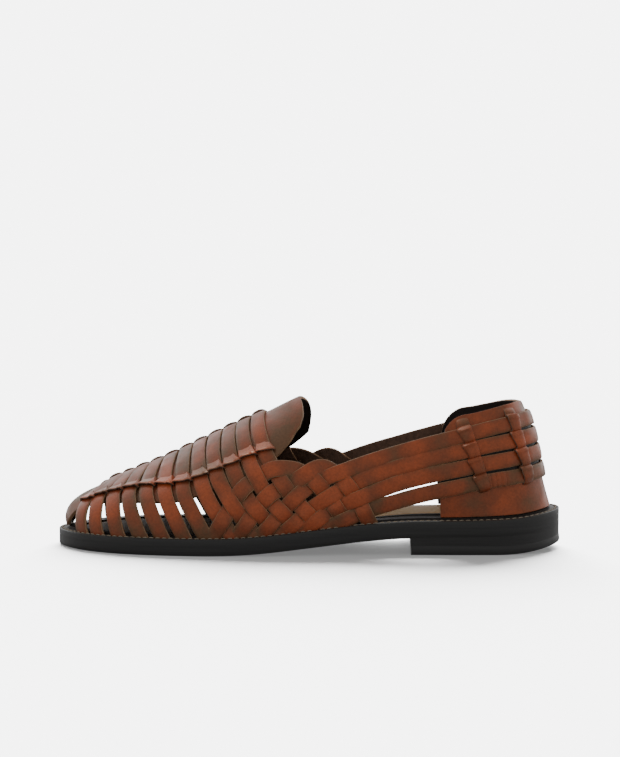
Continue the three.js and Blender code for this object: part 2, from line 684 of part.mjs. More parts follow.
function apronTongue() {
  const edge = APRON_EDGE.map(({ x, z }) => ({ s: wallPlace(x, z, false).s, z }));
  const edgeZ = columnOf(edge, 's', 'z');
  const end = wallPlace(TONGUE_END.x, TONGUE_END.z, false).s;
  const lower = (s, medial) => {
    if (s <= APRON_STRIP) return plateFloor(s, medial);
    if (s < edge[0].s) {
      const t = (s - APRON_STRIP) / (edge[0].s - APRON_STRIP);
      return THREE.MathUtils.lerp(plateFloor(s, medial), riseAt(s, medial, edge[0].z), t);
    }
    const tip = THREE.MathUtils.clamp((s - edge[edge.length - 1].s) / (end - edge[edge.length - 1].s), 0, 1);
    return riseAt(s, medial, THREE.MathUtils.lerp(edgeZ(s), TONGUE_END.z, tip * tip));
  };
  const shares = [0, APRON_STRIP / 2, APRON_STRIP, ...sharesBetween(edge[0].s, end, APRON_GRID.columns)];
  const drawBack = (s, rise) => {
    const near = THREE.MathUtils.smoothstep(s, end - TONGUE_ROUND.run, end);
    const up = Math.max(rise - TONGUE_ROUND.from, 0) / (1 - TONGUE_ROUND.from);
    return TONGUE_ROUND.back * near * up * up;
  };
  const sheet = plate({
    shares, rows: APRON_GRID.rows, lower, upper: () => 1, drawBack,
    edgeAtTop: false, edgeAtFirst: false, edgeAtLast: true,
  });
  const first = VAMP_STRAPS[0];
  const last = VAMP_STRAPS[VAMP_STRAPS.length - 1];
  const bands = [false, true].map((medial) => bridgeBand([
    bridgePlace(first, medial, -BRIDGE.reach, -BRIDGE.toeDrop),
    ...VAMP_STRAPS.map((strap) => bridgePlace(strap, medial)),
    bridgePlace(last, medial, BRIDGE.reach, BRIDGE.tongueRise),
  ], vampRoutes, STRAP.width));
  return outerShell(union([sheet, ...bands]));
}

function heelCounter() {
  const topAt = columnOf(COUNTER_TOP, 'x', 'top');
  const front = wallPlace(COUNTER_FRONT, COUNTER_TOP[0].top, false).s;
  const upper = (s, medial) => {
    const level = riseAt(s, medial, COUNTER_TOP[2].top);
    return riseAt(s, medial, topAt(lastPoint(s, medial ? 2 - level : level).x));
  };
  const cornerEnd = front + COUNTER_GRID.cornerShare;
  const corner = sharesBetween(front, cornerEnd, COUNTER_GRID.corner);
  const sheet = plate({
    shares: [...corner, ...sharesBetween(cornerEnd, 1, COUNTER_GRID.columns).slice(1)],
    rows: COUNTER_GRID.rows, lower: plateFloor, upper, edgeAtTop: true, edgeAtFirst: true, edgeAtLast: false,
  });
  const bands = [false, true].flatMap((medial) => ['side', 'back'].map((column) => {
    const rows = COUNTER_BANDS.map((row) => placeOn(row[column], row[`${column}Z`], medial));
    return bridgeBand(rows, heelRoutes.map((route) => halfOf(route, medial)), HEEL_STRAP_WIDTH);
  }));
  return outerShell(union([sheet, ...bands]));
}

function wovenUpper() {
  const margin = band(
    WELT_WIDTH - MARGIN_OUT, WELT_WIDTH + MARGIN_IN, featherZ, (x) => featherZ(x) + MARGIN_THICK,
  );
  const strap = (width) => (route) => ribbon(thinned(route), width, STRAP.low, STRAP.high);
  const straps = union([
    ...[...vampRoutes, ...throatRoutes.flat()].map(strap(STRAP.width)),
    ...heelRoutes.map(strap(HEEL_STRAP_WIDTH)),
  ]);
  return outerShell(straps.add(margin));
}

// Sole
const outsoleTop = (x) => soleUnder(x) + soleThick(x) * OUTSOLE_SHARE;
const liftUnder = (x) => {
  const t = THREE.MathUtils.clamp((x - HEEL_BEVEL.start) / (HEEL_BEVEL.end - HEEL_BEVEL.start), 0, 1);
  return HEEL_BEVEL.rise * t * t;
};
const liftTop = (x) => LIFT_HEIGHT + liftUnder(x) * HEEL_BEVEL.shareAbove;
const insoleRise = columnOf(INSOLE_RISE, 'x', 'rise');

const pieces = {
  outsole: [layer(0, 0, soleUnder, outsoleTop), SOLE_BLACK],
  welt: [band(0, WELT_BAND, (x) => outsoleTop(x) + SEAT_GAP, weltTop), WELT_BROWN],
  heel_stack: [
    layer(0, BREAST_SHARE, (x) => liftTop(x) + SEAT_GAP, (x) => soleUnder(x) - SEAT_GAP), SOLE_BLACK,
  ],
  heel_top_piece: [layer(-LIFT_FLARE, BREAST_SHARE, liftUnder, liftTop), SOLE_BLACK],
  insole: [
    layer(WELT_BAND + INSOLE_CLEAR, 0, (x) => outsoleTop(x) + SEAT_GAP, (x) => weltTop(x) + insoleRise(x)),
    INSOLE_TAN,
  ],
  upper: [wovenUpper(), LEATHER],
  apron_tongue: [apronTongue(), LEATHER],
  heel_counter: [heelCounter(), LEATHER],
};

function asMesh(name, solid, finish) {
  const { vertProperties, triVerts } = solid.getMesh();
  const geometry = new THREE.BufferGeometry();
  geometry.setAttribute('position', new THREE.BufferAttribute(new Float32Array(vertProperties), 3));
  geometry.setIndex(new THREE.BufferAttribute(new Uint32Array(triVerts), 1));
  geometry.computeVertexNormals();
  const mesh = new THREE.Mesh(geometry, new THREE.MeshStandardMaterial(finish));
  mesh.name = name;
  return mesh;
}

const loafer = new THREE.Group();
Object.entries(pieces).forEach(([name, [solid, finish]]) => loafer.add(asMesh(name, solid, finish)));

export default loafer;
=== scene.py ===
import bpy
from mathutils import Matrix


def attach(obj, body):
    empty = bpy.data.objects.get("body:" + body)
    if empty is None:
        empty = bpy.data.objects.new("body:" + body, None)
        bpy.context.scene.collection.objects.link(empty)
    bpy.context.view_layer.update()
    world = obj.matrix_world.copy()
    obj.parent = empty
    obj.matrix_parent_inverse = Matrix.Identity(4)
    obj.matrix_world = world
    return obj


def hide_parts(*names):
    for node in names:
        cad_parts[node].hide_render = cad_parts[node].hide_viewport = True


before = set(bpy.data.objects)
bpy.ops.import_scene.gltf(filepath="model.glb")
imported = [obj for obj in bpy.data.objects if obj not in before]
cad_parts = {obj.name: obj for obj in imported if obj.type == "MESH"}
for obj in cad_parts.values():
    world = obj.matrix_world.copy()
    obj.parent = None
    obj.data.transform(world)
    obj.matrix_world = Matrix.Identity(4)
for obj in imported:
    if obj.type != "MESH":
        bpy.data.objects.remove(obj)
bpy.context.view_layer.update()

import copy
import math

import bmesh
import bpy
import numpy as np
from mathutils import Vector

bl_info = {
    "name": "Woven loafer",
    "version": (1, 0, 0),
    "blender": (4, 5, 0),
    "location": "View3D > Sidebar > Loafer",
    "description": "Straps, apron, counter, sole and stage of a woven leather loafer",
    "category": "Object",
}

BODY = "root"
MM = 0.001

# Sizes in millimetres that the part's solids also have
WELT_WIDTH = 6.5
FEATHER_GAP = 0.45
OUTSOLE_SHARE = 0.58
WELT_BAND = 15.0
MARGIN_THICK = 0.9
SEAT_GAP = 0.3
INSOLE_CLEAR = 0.4
BREAST_SHARE = 0.688
LIFT_HEIGHT = 5.2
LIFT_FLARE = 0.5
HEEL_BEVEL = {"start": 112.0, "end": 150.0, "rise": 4.6, "share_above": 0.8}

# Edge of the sole seen from above, once round from the toe tip by the outer side
SOLE_EDGE = [
    (-150, -5), (-144, -21.5), (-127, -36.5), (-98, -47.5), (-58, -51.5), (-20, -49), (20, -42.5),
    (60, -37.5), (98, -35.5), (128, -31), (145, -16.5), (150, 0.5), (145, 17.5), (128, 31.5),
    (98, 34.5), (60, 31.5), (22, 33.5), (-18, 43.5), (-60, 51.5), (-98, 48), (-128, 33.5), (-145, 12.5),
]

# Side view of the sole: x, height of the underside, thickness of outsole and welt together
SOLE_PROFILE = [
    (-150, 1.0, 9.4), (-128, 0.2, 9.9), (-110, 0, 10), (-60, 0, 10), (-30, 1.0, 10), (5, 4.6, 10),
    (35, 7.9, 10), (60, 9.6, 10), (100, 10.2, 10), (125, 11.2, 10.2), (150, 14.4, 10.2),
]

# How far the insole's top stands above the welt: x, rise
INSOLE_RISE = [(-150, 0.6), (-20, 0.6), (40, 1.9), (75, 2.5), (150, 2.5)]

# Sections of the last: place along the feather line, crown x, crown half width, crown z, turn, bulge
SECTIONS = [
    (0, -116, 0, 37, 52, 1.5), (0.07, -112, 0, 38.7, 58, 1.5), (0.16, -101, 0, 43.2, 66, 2),
    (0.24, -83, 0, 50.7, 72, 2), (0.33, -56, 0, 63.7, 76, 2), (0.42, -27, 0, 77.3, 78, 1.5),
    (0.51, 2, 3, 91, 70, 1.5), (0.585, 28, 15, 96, 45, 1.5), (0.675, 60, 20.5, 97, 32, 2),
    (0.775, 91, 22.5, 96, 26, 2), (0.885, 112, 15.5, 95, 24, -3), (1, 121.5, 0, 94, 22, -7),
]

# Ridge of the last seen from above
SPINE = [(-150, 3), (-100, 4), (-50, 3), (0, 1), (60, 0), (150, 0.5)]

# Straps over the vamp: sole end, a point on the side wall, the bridge at the apron's outer edge, the bridge
# near the ridge, and how far back sole end and wall point lie on the inner side
VAMP_STRAPS = [
    (-130.2, (-130.9, 22), (-129, 27), (-123, 31), 7.5),
    (-120.6, (-122.4, 23.5), (-121.3, 30), (-116.5, 35.5), 9),
    (-107.8, (-111.9, 25.4), (-112.5, 32.5), (-109, 38.4), 8.2),
    (-94.7, (-102, 27), (-103, 35), (-100, 42.2), 7.8),
    (-82, (-91, 28.4), (-93, 37), (-91, 45.8), 7.6),
    (-69.2, (-79.5, 30), (-82, 38.5), (-82, 49.8), 5.6),
    (-56.4, (-68, 30.6), (-71, 40.5), (-72.6, 54.2), 3.6),
    (-41.2, (-54.5, 30.5), (-60.7, 44), (-64, 58.4), 0),
    (-28.5, (-43.5, 32.5), (-52, 48), (-54.6, 62.9), 0),
    (-15, (-32.5, 32.5), (-42.5, 51.5), (-45.8, 67.2), 0),
    (-2.5, (-20.5, 33.5), (-33.5, 56), (-37.4, 71.2), 0),
    (10.5, (-8.5, 36), (-23.5, 59.5), (-28.6, 75.2), 0),
]

# Columns of that table with the two bridges
BRIDGE, RIDGE = 2, 3

# Strands that rise from the sole, turn at the throat and go down again: start, places, end
THROAT_STRANDS = [
    (-52.4, [(-35.7, 36.2), (-23, 46.2), (-9, 49), (4, 44.3), (13.5, 34.4)], 25.5),
    (-38.5, [(-20.5, 33.7), (-3.1, 43.3), (11, 50), (20.5, 45), (31.2, 32)], 38.0),
]

# Strands that rise from the sole, run along the quarter and go round the heel: start, places, height at the
# back, and how much higher they lie on the inner side
HEEL_STRANDS = [
    (-24.5, [(-4, 34), (16, 45.6), (55.6, 59.1), (107.7, 73)], 77.0, 0.4),
    (-11.5, [(14.3, 33.5), (33.5, 43.2), (56, 51), (107.7, 63.4)], 67.3, 1.4),
    (0.0, [(18.3, 27), (40.4, 36.2), (55.5, 41.8), (108, 53.2)], 57.4, 2.4),
    (14.0, [(35.7, 25.4), (56.2, 31.8), (80, 37.6), (107.6, 42.8)], 47.2, 3.3),
]

# How many vamp straps have the widths of the toe, and the first one that is woven, counted from 0
TOE_STRAPS = 3
FIRST_WOVEN_STRAP = 7

# Apron: share of the length that its strip at the toe tip takes, its lower edge, and the tongue's free end
APRON_STRIP = 0.02
APRON_EDGE = [
    (-134.5, 23), (-128, 26), (-105, 28.4), (-75, 30), (-62, 33.5), (-45, 40.5), (-30, 47.5), (-17.5, 55),
    (-9, 64), (-4.5, 71.5),
]
TONGUE_END = (-1.5, 79.0)

# Rounding of the tongue's end, as shares of the section's height and of the length: from which height and how
# far it pulls in at the ridge, over which run, and how much further to the heel and lower the inner half
# reaches, over which run and which span of the height
TONGUE_ROUND = {
    "from": 0.72, "back": 0.009, "run": 0.06, "inner_more": 0.012, "inner_low": 0.02, "inner_run": 0.13,
    "inner_span": 0.56,
}

# How strongly the strip at the toe tip swells forward, and over which share of the length
TOE_SWELL = {"out": 4.6, "run": 0.03}

# Heel counter: front edge, top edge from the front corner round to the back, and its bands from the top down
COUNTER_FRONT = 81.5
COUNTER_TOP = [
    (81.5, 69), (83, 73.5), (86, 77.8), (90.5, 80.6), (97, 81.8), (106, 83.7), (117, 86), (125, 87),
]
SIDE_BAND = [(91, 79.8), (95.4, 66), (99, 55.5), (102.4, 45), (105, 36.5)]
BACK_BAND = [(117.8, 85), (121, 71.5), (124, 61.5), (126.8, 51.5), (129, 41)]

# Where along the heel straps the bands hold them down
BAND_X = (SIDE_BAND[2][0], BACK_BAND[2][0])

# Height at which the top edge is read along the counter
COUNTER_LEVEL = COUNTER_TOP[2][1]

# Widths of the straps: share of the length, width
TOE_WIDTH = [(0, 9.2), (0.3, 8.8), (0.42, 8.9), (0.58, 8.9), (0.7, 8.0), (1, 7.4)]
VAMP_WIDTH = [(0, 9.0), (0.3, 8.7), (0.42, 8.9), (0.58, 8.9), (0.7, 8.2), (1, 7.8)]
WOVEN_WIDTH = [
    (0, 9.1), (0.24, 9.4), (0.34, 9.1), (0.42, 8.9), (0.58, 8.9), (0.66, 8.5), (0.76, 9.0), (1, 9.1),
]
THROAT_WIDTH = [(0, 9.1), (0.4, 10.1), (0.6, 10.1), (1, 9.1)]
HEEL_WIDTH = [
    (0, 9.0), (0.16, 9.0), (0.26, 8.9), (0.38, 8.3), (0.62, 8.3), (0.74, 8.9), (0.84, 9.0), (1, 9.0),
]

# How much higher or lower each strap lies along the quarter, so that their edges step like shingles, how much
# wider it is there, and the x of the quarter
QUARTER_STEP = [-0.75, -0.15, 0.5, 0.4]
QUARTER_WIDER = [0.5, 0.9, 0.9, 0.4]
QUARTER_X = 52.0

# Bands that straps pass under: height between straps and over them, half width on the side where the straps
# come out and on the other, how much that side leans out along each loop, the knob near one end of the loop
# with its sign for which end, how much the loop bows up, and thickness
APRON_BAND = {
    "low": 1.2, "rise": 2.3, "open": 3.0, "closed": 5.2, "lean": 0.9, "knob": 0.7, "bow": 0.0, "thick": 1.4,
}
RIDGE_BAND = {
    "low": 1.0, "rise": 1.3, "open": 3.0, "closed": 3.0, "lean": 0.4, "knob": 0.0, "bow": 1.5, "thick": 1.5,
}
COUNTER_BAND = {
    "low": 1.1, "rise": 2.7, "open": 4.0, "closed": 3.8, "lean": -1.4, "knob": -0.5, "bow": 0.2, "thick": 1.4,
}
BAND_PIECES = ("apron_bridges", "counter_bridges")

# How far an apron band goes on past its first and its last strap
BAND_START = (-5, -1)
BAND_END = (5, 2)

# Share of a loop in which it comes down to the sheet, the knob's place and width in half loops, and how deep
# a band's ends sink into the sheet and over which run
LOOP_END = 0.28
KNOB = {"at": 0.7, "width": 0.18}
BAND_SINK = {"depth": 1.8, "run": 4.0}

# Sheets: height of the underside above the last, rounding of the cut edges
APRON_SHEET = {"under": -0.6, "edge": 0.45}
COUNTER_SHEET = {"under": -0.8, "edge": 0.5}

# Lasting margin: how far it stands out past the feather line and reaches in, and its section as shares
MARGIN_OUT = 0.4
MARGIN_IN = 7.5
MARGIN_SECTION = [(0, 0), (0, 0.8), (0.05, 1), (1, 1), (1, 0)]

# Weave: share of a vamp or heel strap that can lie in one side's weave, share at which a throat strand starts
# down again, how near two straps come if they cross, from which height above the feather line that counts,
# how far from it a strap is back at its plain height, and in how many places the apron holds a strap down
WOVEN_SHARE = 0.36
THROAT_TURN = 0.56
CROSSING_GAP = 4
CROSSING_LOW = 1
CROSSING_REACH = 9.0
APRON_MARKS = 4

# Tones, higher for redder and lighter: tongue, counter, a band and its rise over a strap, the span of single
# straps, what each group adds, and within a strap its middle, its rise or dip and its run up from the sole.
# A band's rise and a strap's rise or dip are painted light and painted shade; a strap's darker edges are
# partly burnished edge and partly painted shade
TONGUE_TONE = 0.22
COUNTER_TONE = 0.62
BAND_TONE = {"low": 0.3, "rise": 0.2}
STRAP_TONE = (0.34, 0.66)
TONE_SEED = 7
REDDER = {"vamp_straps": 0.12, "throat_strands": -0.06, "heel_straps": 0.03}
TONE = {"middle": 0.42, "even": 0.65, "rise": 0.26, "sole": 0.35, "sole_run": 15}

# Creases, listed one by one: heel strap, x from and to, pitch, depth. They fade in and out over a run
CREASES = [(3, 105.0, 120.0, 2.8, 0.26), (1, 30.0, 36.0, 3.1, 0.12), (2, 86.0, 92.0, 2.9, 0.14)]
CREASE_FADE = 3

# How far a strap's end goes down into the welt, in three steps
TUCK = 2.2
TUCK_STEPS = (1.0, 0.66, 0.33)

# How finely curves are followed
CORNER_STEPS = 24
LOOP_POINTS = 960
HALVINGS = 40
ROUTE_STEPS = 40
ROUGH_RINGS = 60
FEWEST_RINGS = 12
RING_SPACING = 1.2
HEEL_SPACING = 0.6
BAND_SPACING = 0.5
SOLE_STATIONS = 110
CAP_COLUMNS = 6
ROWS = np.concatenate([[0, 0.006, 0.016, 0.03], np.linspace(0.05, 1, 22)])
APRON_COLUMNS = {"strip": 5, "rest": 90}
COUNTER_COLUMNS = {"edge": 9, "rest": 60, "edge_run": 0.02}
SURFACE_STEP = 0.002
TINY = 1e-9
UPRIGHT = np.array([0.0, 0.0, 1.0])
SHARP_ANGLE = math.radians(46.0)
WELD_DISTANCE = 0.00001
SHRUNK_DISTANCE = 0.000005
BEVEL_SEGMENTS = 3

# Rough length of the last along s and over v, so that a route's points are evenly spaced
ROUTE_SCALE = np.array([325.0, 80.0])

# Whether a side is the inner one: outer side first
SIDES = (False, True)

# Camera of the photograph: degrees and millimetres, and its image in pixels of so many millimetres
VIEW = {"azimuth": 4.0, "elevation": 6.8, "distance": 1250.0, "target": (0.0, 0.0, 45.0)}
IMAGE = {"width": 620, "height": 757, "scale": 0.6, "target_px": (308.0, 470.0)}
SENSOR = 36.0
CLIP = (0.01, 200.0)

# Stage in metres: direction of the window, place of the lamp, half the floor's width, and between which
# directions the room's light changes ahead and behind
WINDOW_PLACE = (0.0, 0.82, 0.572)
LAMP_PLACE = (-0.4, 0.0, 1.1)
FLOOR_REACH = 30.0
ROOM_AHEAD = (0.0, 0.6)
ROOM_BEHIND = (-0.6, -0.05)


def smooth_column(rows, column):
    """Smooth curve through one column of a table whose first column is the place."""
    knots = np.array([row[0] for row in rows], float)
    values = np.array([row[column] for row in rows], float)
    after = np.minimum(np.arange(len(rows)) + 1, len(rows) - 1)
    before = np.maximum(np.arange(len(rows)) - 1, 0)
    slopes = (values[after] - values[before]) / (knots[after] - knots[before])

    def curve(at):
        x = np.clip(np.asarray(at, float), knots[0], knots[-1])
        i = np.clip(np.searchsorted(knots, x, side="right") - 1, 0, len(knots) - 2)
        span = knots[i + 1] - knots[i]
        t = (x - knots[i]) / span
        rest = 1 - t
        ends = values[i] * (1 + 2 * t) * rest ** 2 + values[i + 1] * (3 - 2 * t) * t ** 2
        return ends + span * t * rest * (slopes[i] * rest - slopes[i + 1] * t)

    return curve


under_curve = smooth_column(SOLE_PROFILE, 1)
thick_curve = smooth_column(SOLE_PROFILE, 2)
spine_y = smooth_column(SPINE, 1)
insole_rise = smooth_column(INSOLE_RISE, 1)
crown_x, crown_half, crown_z, turn_of, bulge_of = (smooth_column(SECTIONS, column) for column in range(1, 6))


def sole_under(x):
    return np.maximum(under_curve(x), 0)


def outsole_top(x):
    return sole_under(x) + thick_curve(x) * OUTSOLE_SHARE


def welt_top(x):
    return sole_under(x) + thick_curve(x)


def feather_z(x):
    return welt_top(x) + FEATHER_GAP


def insole_under(x):
    return outsole_top(x) + SEAT_GAP


def insole_top(x):
    return welt_top(x) + insole_rise(x)


def lift_under(x):
    t = np.clip((np.asarray(x) - HEEL_BEVEL["start"]) / (HEEL_BEVEL["end"] - HEEL_BEVEL["start"]), 0, 1)
    return HEEL_BEVEL["rise"] * t * t


def lift_top(x):
    return LIFT_HEIGHT + lift_under(x) * HEEL_BEVEL["share_above"]


def ease(t):
    """Goes from 0 to 1 without a kink."""
    t = np.clip(t, 0, 1)
    return t * t * (3 - 2 * t)


def lengths_along(points):
    """How far along a line each of its points lies."""
    return np.concatenate([[0], np.cumsum(np.linalg.norm(np.diff(points, axis=0), axis=1))])


def points_at(lengths, travelled, points):
    """Points that lie these lengths along a flat line."""
    return np.stack([np.interp(lengths, travelled, points[:, k]) for k in (0, 1)], -1)


def even_loop(corners):
    """Closed smooth curve through the corners, as evenly spaced points."""
    p = np.array(corners, float)
    t = (np.arange(CORNER_STEPS) / CORNER_STEPS)[:, None]
    parts = []
    for i in range(len(p)):
        a, b, c, d = p[i - 1], p[i], p[(i + 1) % len(p)], p[(i + 2) % len(p)]
        parts.append(0.5 * (2 * b + (c - a) * t + (2 * a - 5 * b + 4 * c - d) * t ** 2
                            + (3 * b - a - 3 * c + d) * t ** 3))
    loop = np.concatenate(parts)
    closed = np.vstack([loop, loop[:1]])
    travelled = lengths_along(closed)
    return points_at(np.linspace(0, travelled[-1], LOOP_POINTS, endpoint=False), travelled, closed)


EDGE_LOOP = even_loop(SOLE_EDGE)


def halves_of(inset):
    """The sole edge moved in by a distance, as its outer and inner half from toe tip to heel back."""
    along = np.roll(EDGE_LOOP, -1, 0) - np.roll(EDGE_LOOP, 1, 0)
    along /= np.linalg.norm(along, axis=1)[:, None]
    moved = EDGE_LOOP + np.stack([-along[:, 1], along[:, 0]], 1) * inset
    toe = int(np.argmin(moved[:, 0]))
    heel = int(np.argmax(moved[:, 0]))
    count = len(moved)

    def half(step):
        points = moved[[(toe + step * i) % count for i in range((step * (heel - toe)) % count + 1)]]
        travelled = lengths_along(points)
        share = travelled / travelled[-1]
        return lambda at: points_at(at, share, points)

    return half(1), half(-1)


FEATHER = halves_of(WELT_WIDTH)


def last_point(s, v):
    """Points of the last: s from toe tip 0 to heel back 1, v from the outer feather line over the crown at 1
    to the inner feather line at 2."""
    s, v = np.broadcast_arrays(np.asarray(s, float), np.asarray(v, float))
    past = (s < 0) | (s > 1)
    v = np.where(past, 2 - v, v)
    s = np.where(s < 0, -s, np.where(s > 1, 2 - s, s))
    inner = v > 1
    rise = np.where(inner, 2 - v, v)
    base = np.where(inner[..., None], FEATHER[1](s), FEATHER[0](s))
    base_z = feather_z(base[..., 0])
    top_x = crown_x(s)
    top_y = spine_y(top_x) + np.where(inner, 1, -1) * np.maximum(crown_half(s), 0)
    turn = np.radians(turn_of(s))
    angle = rise * turn
    inward = (1 - np.cos(angle)) / (1 - np.cos(turn))
    upward = np.sin(angle) / np.sin(turn)
    reach = np.stack([top_x - base[..., 0], top_y - base[..., 1]], -1)
    swell = bulge_of(s) * np.sin(np.pi * rise) * (1 - rise) / np.linalg.norm(reach, axis=-1)
    swell = np.where(rise > 0, swell, 0)
    flat = base + reach * (inward - swell)[..., None]
    return np.concatenate([flat, (base_z + (crown_z(s) - base_z) * upward)[..., None]], -1)


def last_normal(s, v):
    s, v = np.broadcast_arrays(np.asarray(s, float), np.asarray(v, float))
    along = last_point(s + SURFACE_STEP, v) - last_point(s - SURFACE_STEP, v)
    over = last_point(s, v + SURFACE_STEP) - last_point(s, v - SURFACE_STEP)
    normal = np.cross(along, over)
    size = np.linalg.norm(normal, axis=-1, keepdims=True)
    return np.where(size > TINY, normal / np.maximum(size, TINY), UPRIGHT)


def wall_base(s, inner):
    """Height of the feather line on one side."""
    return feather_z(FEATHER[inner](s)[..., 0])


def rise_at(s, inner, z):
    """How far up its section a height lies, from 0 at the feather line to 1 at the crown."""
    base_z = wall_base(s, inner)
    turn = np.radians(turn_of(s))
    upward = np.clip((z - base_z) / (crown_z(s) - base_z), 0, 1)
    return np.arcsin(upward * np.sin(turn)) / turn


def over_crown(rise, inner):
    """Place across the last that a rise on one side has."""
    return 2 - rise if inner else rise


def place_on(x, z, inner):
    """Place on one side wall, found from its side view."""
    low, high = 0.0, 1.0
    for _ in range(HALVINGS):
        s = (low + high) / 2
        v = over_crown(rise_at(np.float64(s), inner, z), inner)
        if last_point(s, v)[0] < x:
            low = s
        else:
            high = s
    return np.array([s, v])


def sole_end(x, inner):
    return place_on(x, float(feather_z(x)) + MARGIN_THICK / 2, inner)


def smooth_route(places, count):
    """Smooth curve through places of the last, evenly spaced, each given as s and v."""
    knots = np.array(places) * ROUTE_SCALE
    ends = np.vstack([2 * knots[0] - knots[1], knots, 2 * knots[-1] - knots[-2]])
    steps = np.sqrt(np.linalg.norm(np.diff(ends, axis=0), axis=1))
    t = np.linspace(0, 1, ROUTE_STEPS, endpoint=False)[:, None]
    fine = []
    for i in range(1, len(ends) - 2):
        p0, p1, p2, p3 = ends[i - 1:i + 3]
        d0, d1, d2 = steps[i - 1:i + 2]
        m1 = ((p1 - p0) / d0 - (p2 - p0) / (d0 + d1) + (p2 - p1) / d1) * d1
        m2 = ((p2 - p1) / d1 - (p3 - p1) / (d1 + d2) + (p3 - p2) / d2) * d1
        fine.append((2 * t ** 3 - 3 * t ** 2 + 1) * p1 + (t ** 3 - 2 * t ** 2 + t) * m1
                    + (3 * t ** 2 - 2 * t ** 3) * p2 + (t ** 3 - t ** 2) * m2)
    curve = np.vstack(fine + [knots[-1:]])
    travelled = lengths_along(curve)
    return points_at(np.linspace(0, travelled[-1], count), travelled, curve) / ROUTE_SCALE


class Strap:
    """One strap: its route over the last, and its rise or dip along it."""

    def __init__(self, places, widths, tucked=True, spacing=RING_SPACING):
        rough = smooth_route(places, ROUGH_RINGS)
        length = lengths_along(last_point(*rough.T))[-1]
        route = smooth_route(places, max(int(length / spacing), FEWEST_RINGS))
        if tucked:
            route = np.vstack([self.tuck(route[0], route[2]), route, self.tuck(route[-1], route[-3])[::-1]])
        self.route = route
        self.point = last_point(*route.T)
        self.normal = last_normal(*route.T)
        self.travelled = lengths_along(self.point)
        self.half = np.interp(self.travelled / self.travelled[-1], *zip(*widths)) / 2
        self.marks = []

    @staticmethod
    def tuck(end, inside):
        """Goes on straight past the end, down into the welt."""
        run = end - inside
        fall = last_point(*inside)[2] - last_point(*end)[2]
        return np.array([end + run * TUCK / fall * t for t in TUCK_STEPS])

    def part(self, first, last):
        """A stretch of the strap, given by shares of its rings, whose marks are the whole strap's."""
        count = len(self.point)
        pick = slice(int(first * count), int(last * count))
        stretch = copy.copy(self)
        stretch.point = self.point[pick]
        stretch.travelled = self.travelled[pick]
        return stretch

    def travel_at(self, at):
        """How far along the strap a point lies."""
        return self.travelled[int(np.argmin(np.linalg.norm(self.point - at, axis=1)))]

    def mark(self, at, height):
        """The strap has this height at a point."""
        self.marks.append((self.travel_at(at), height))

    def heights(self):
        """Rise or dip of each ring, eased from one mark to the next and back to plain beyond them."""
        if not self.marks:
            return np.zeros(len(self.point))
        marks = sorted(self.marks)
        knots = []
        for i, (at, height) in enumerate(marks):
            if i == 0 or at - marks[i - 1][0] > 2 * CROSSING_REACH:
                knots.append((at - CROSSING_REACH, 0.0))
            knots.append((at, height))
            if i == len(marks) - 1 or marks[i + 1][0] - at > 2 * CROSSING_REACH:
                knots.append((at + CROSSING_REACH, 0.0))
        where, value = np.array(knots).T
        i = np.clip(np.searchsorted(where, self.travelled, side="right") - 1, 0, len(where) - 2)
        t = (self.travelled - where[i]) / np.maximum(where[i + 1] - where[i], TINY)
        return value[i] + (value[i + 1] - value[i]) * ease(t)


# Finishes of a strap or sheet: its face, its cut edges and its back
FACE, CUT, BACK = 0, 1, 2

# Section of a strap: place across in half widths, height in thicknesses, finish of the face that follows
STRAP_SECTION = [
    (-0.93, 0.0, BACK), (0.0, 0.0, BACK), (0.93, 0.0, CUT), (0.985, 0.16, CUT), (1.0, 0.45, CUT),
    (0.985, 0.7, CUT), (0.945, 0.86, FACE), (0.84, 0.96, FACE), (0.5, 1.06, FACE), (0.0, 1.1, FACE),
    (-0.5, 1.06, FACE), (-0.84, 0.96, FACE), (-0.945, 0.86, CUT), (-0.985, 0.7, CUT), (-1.0, 0.45, CUT),
    (-0.985, 0.16, CUT),
]
SECTION = np.array([(across, height) for across, height, _ in STRAP_SECTION])
STRAP_FINISH = [finish for _, _, finish in STRAP_SECTION]

# Sections of a band: place across in half widths, height in thicknesses. The straps come out at the low end.
FREE_BAND = [
    (-0.94, 0.0), (0.94, 0.0), (1.0, 0.3), (0.97, 0.66), (0.84, 0.92), (0.45, 1.08), (0.0, 1.14),
    (-0.45, 1.1), (-0.84, 0.94), (-0.97, 0.66), (-1.0, 0.3),
]
EASED_BAND = [
    (-0.94, 0.6), (0.9, -0.8), (1.0, -0.75), (0.98, -0.55), (0.7, -0.12), (0.35, 0.34), (0.0, 0.74),
    (-0.4, 1.12), (-0.75, 1.34), (-0.95, 1.24), (-1.0, 0.95),
]
# The low edges of a band, where the straps come out, take the dark flesh finish: painted shadow of the slit
BAND_FINISH_PAINTED_SLIT = [BACK, BACK, *[FACE] * (len(FREE_BAND) - 4), BACK, BACK]
# The ridge band also takes the dark flesh finish over one whole side: painted shade of the gap under its
# loops
RIDGE_FINISH_PAINTED_GAP = [*[BACK] * 4, *BAND_FINISH_PAINTED_SLIT[4:]]


def add_to_scene(name, data):
    thing = bpy.data.objects.new(name, data)
    bpy.context.scene.collection.objects.link(thing)
    return thing


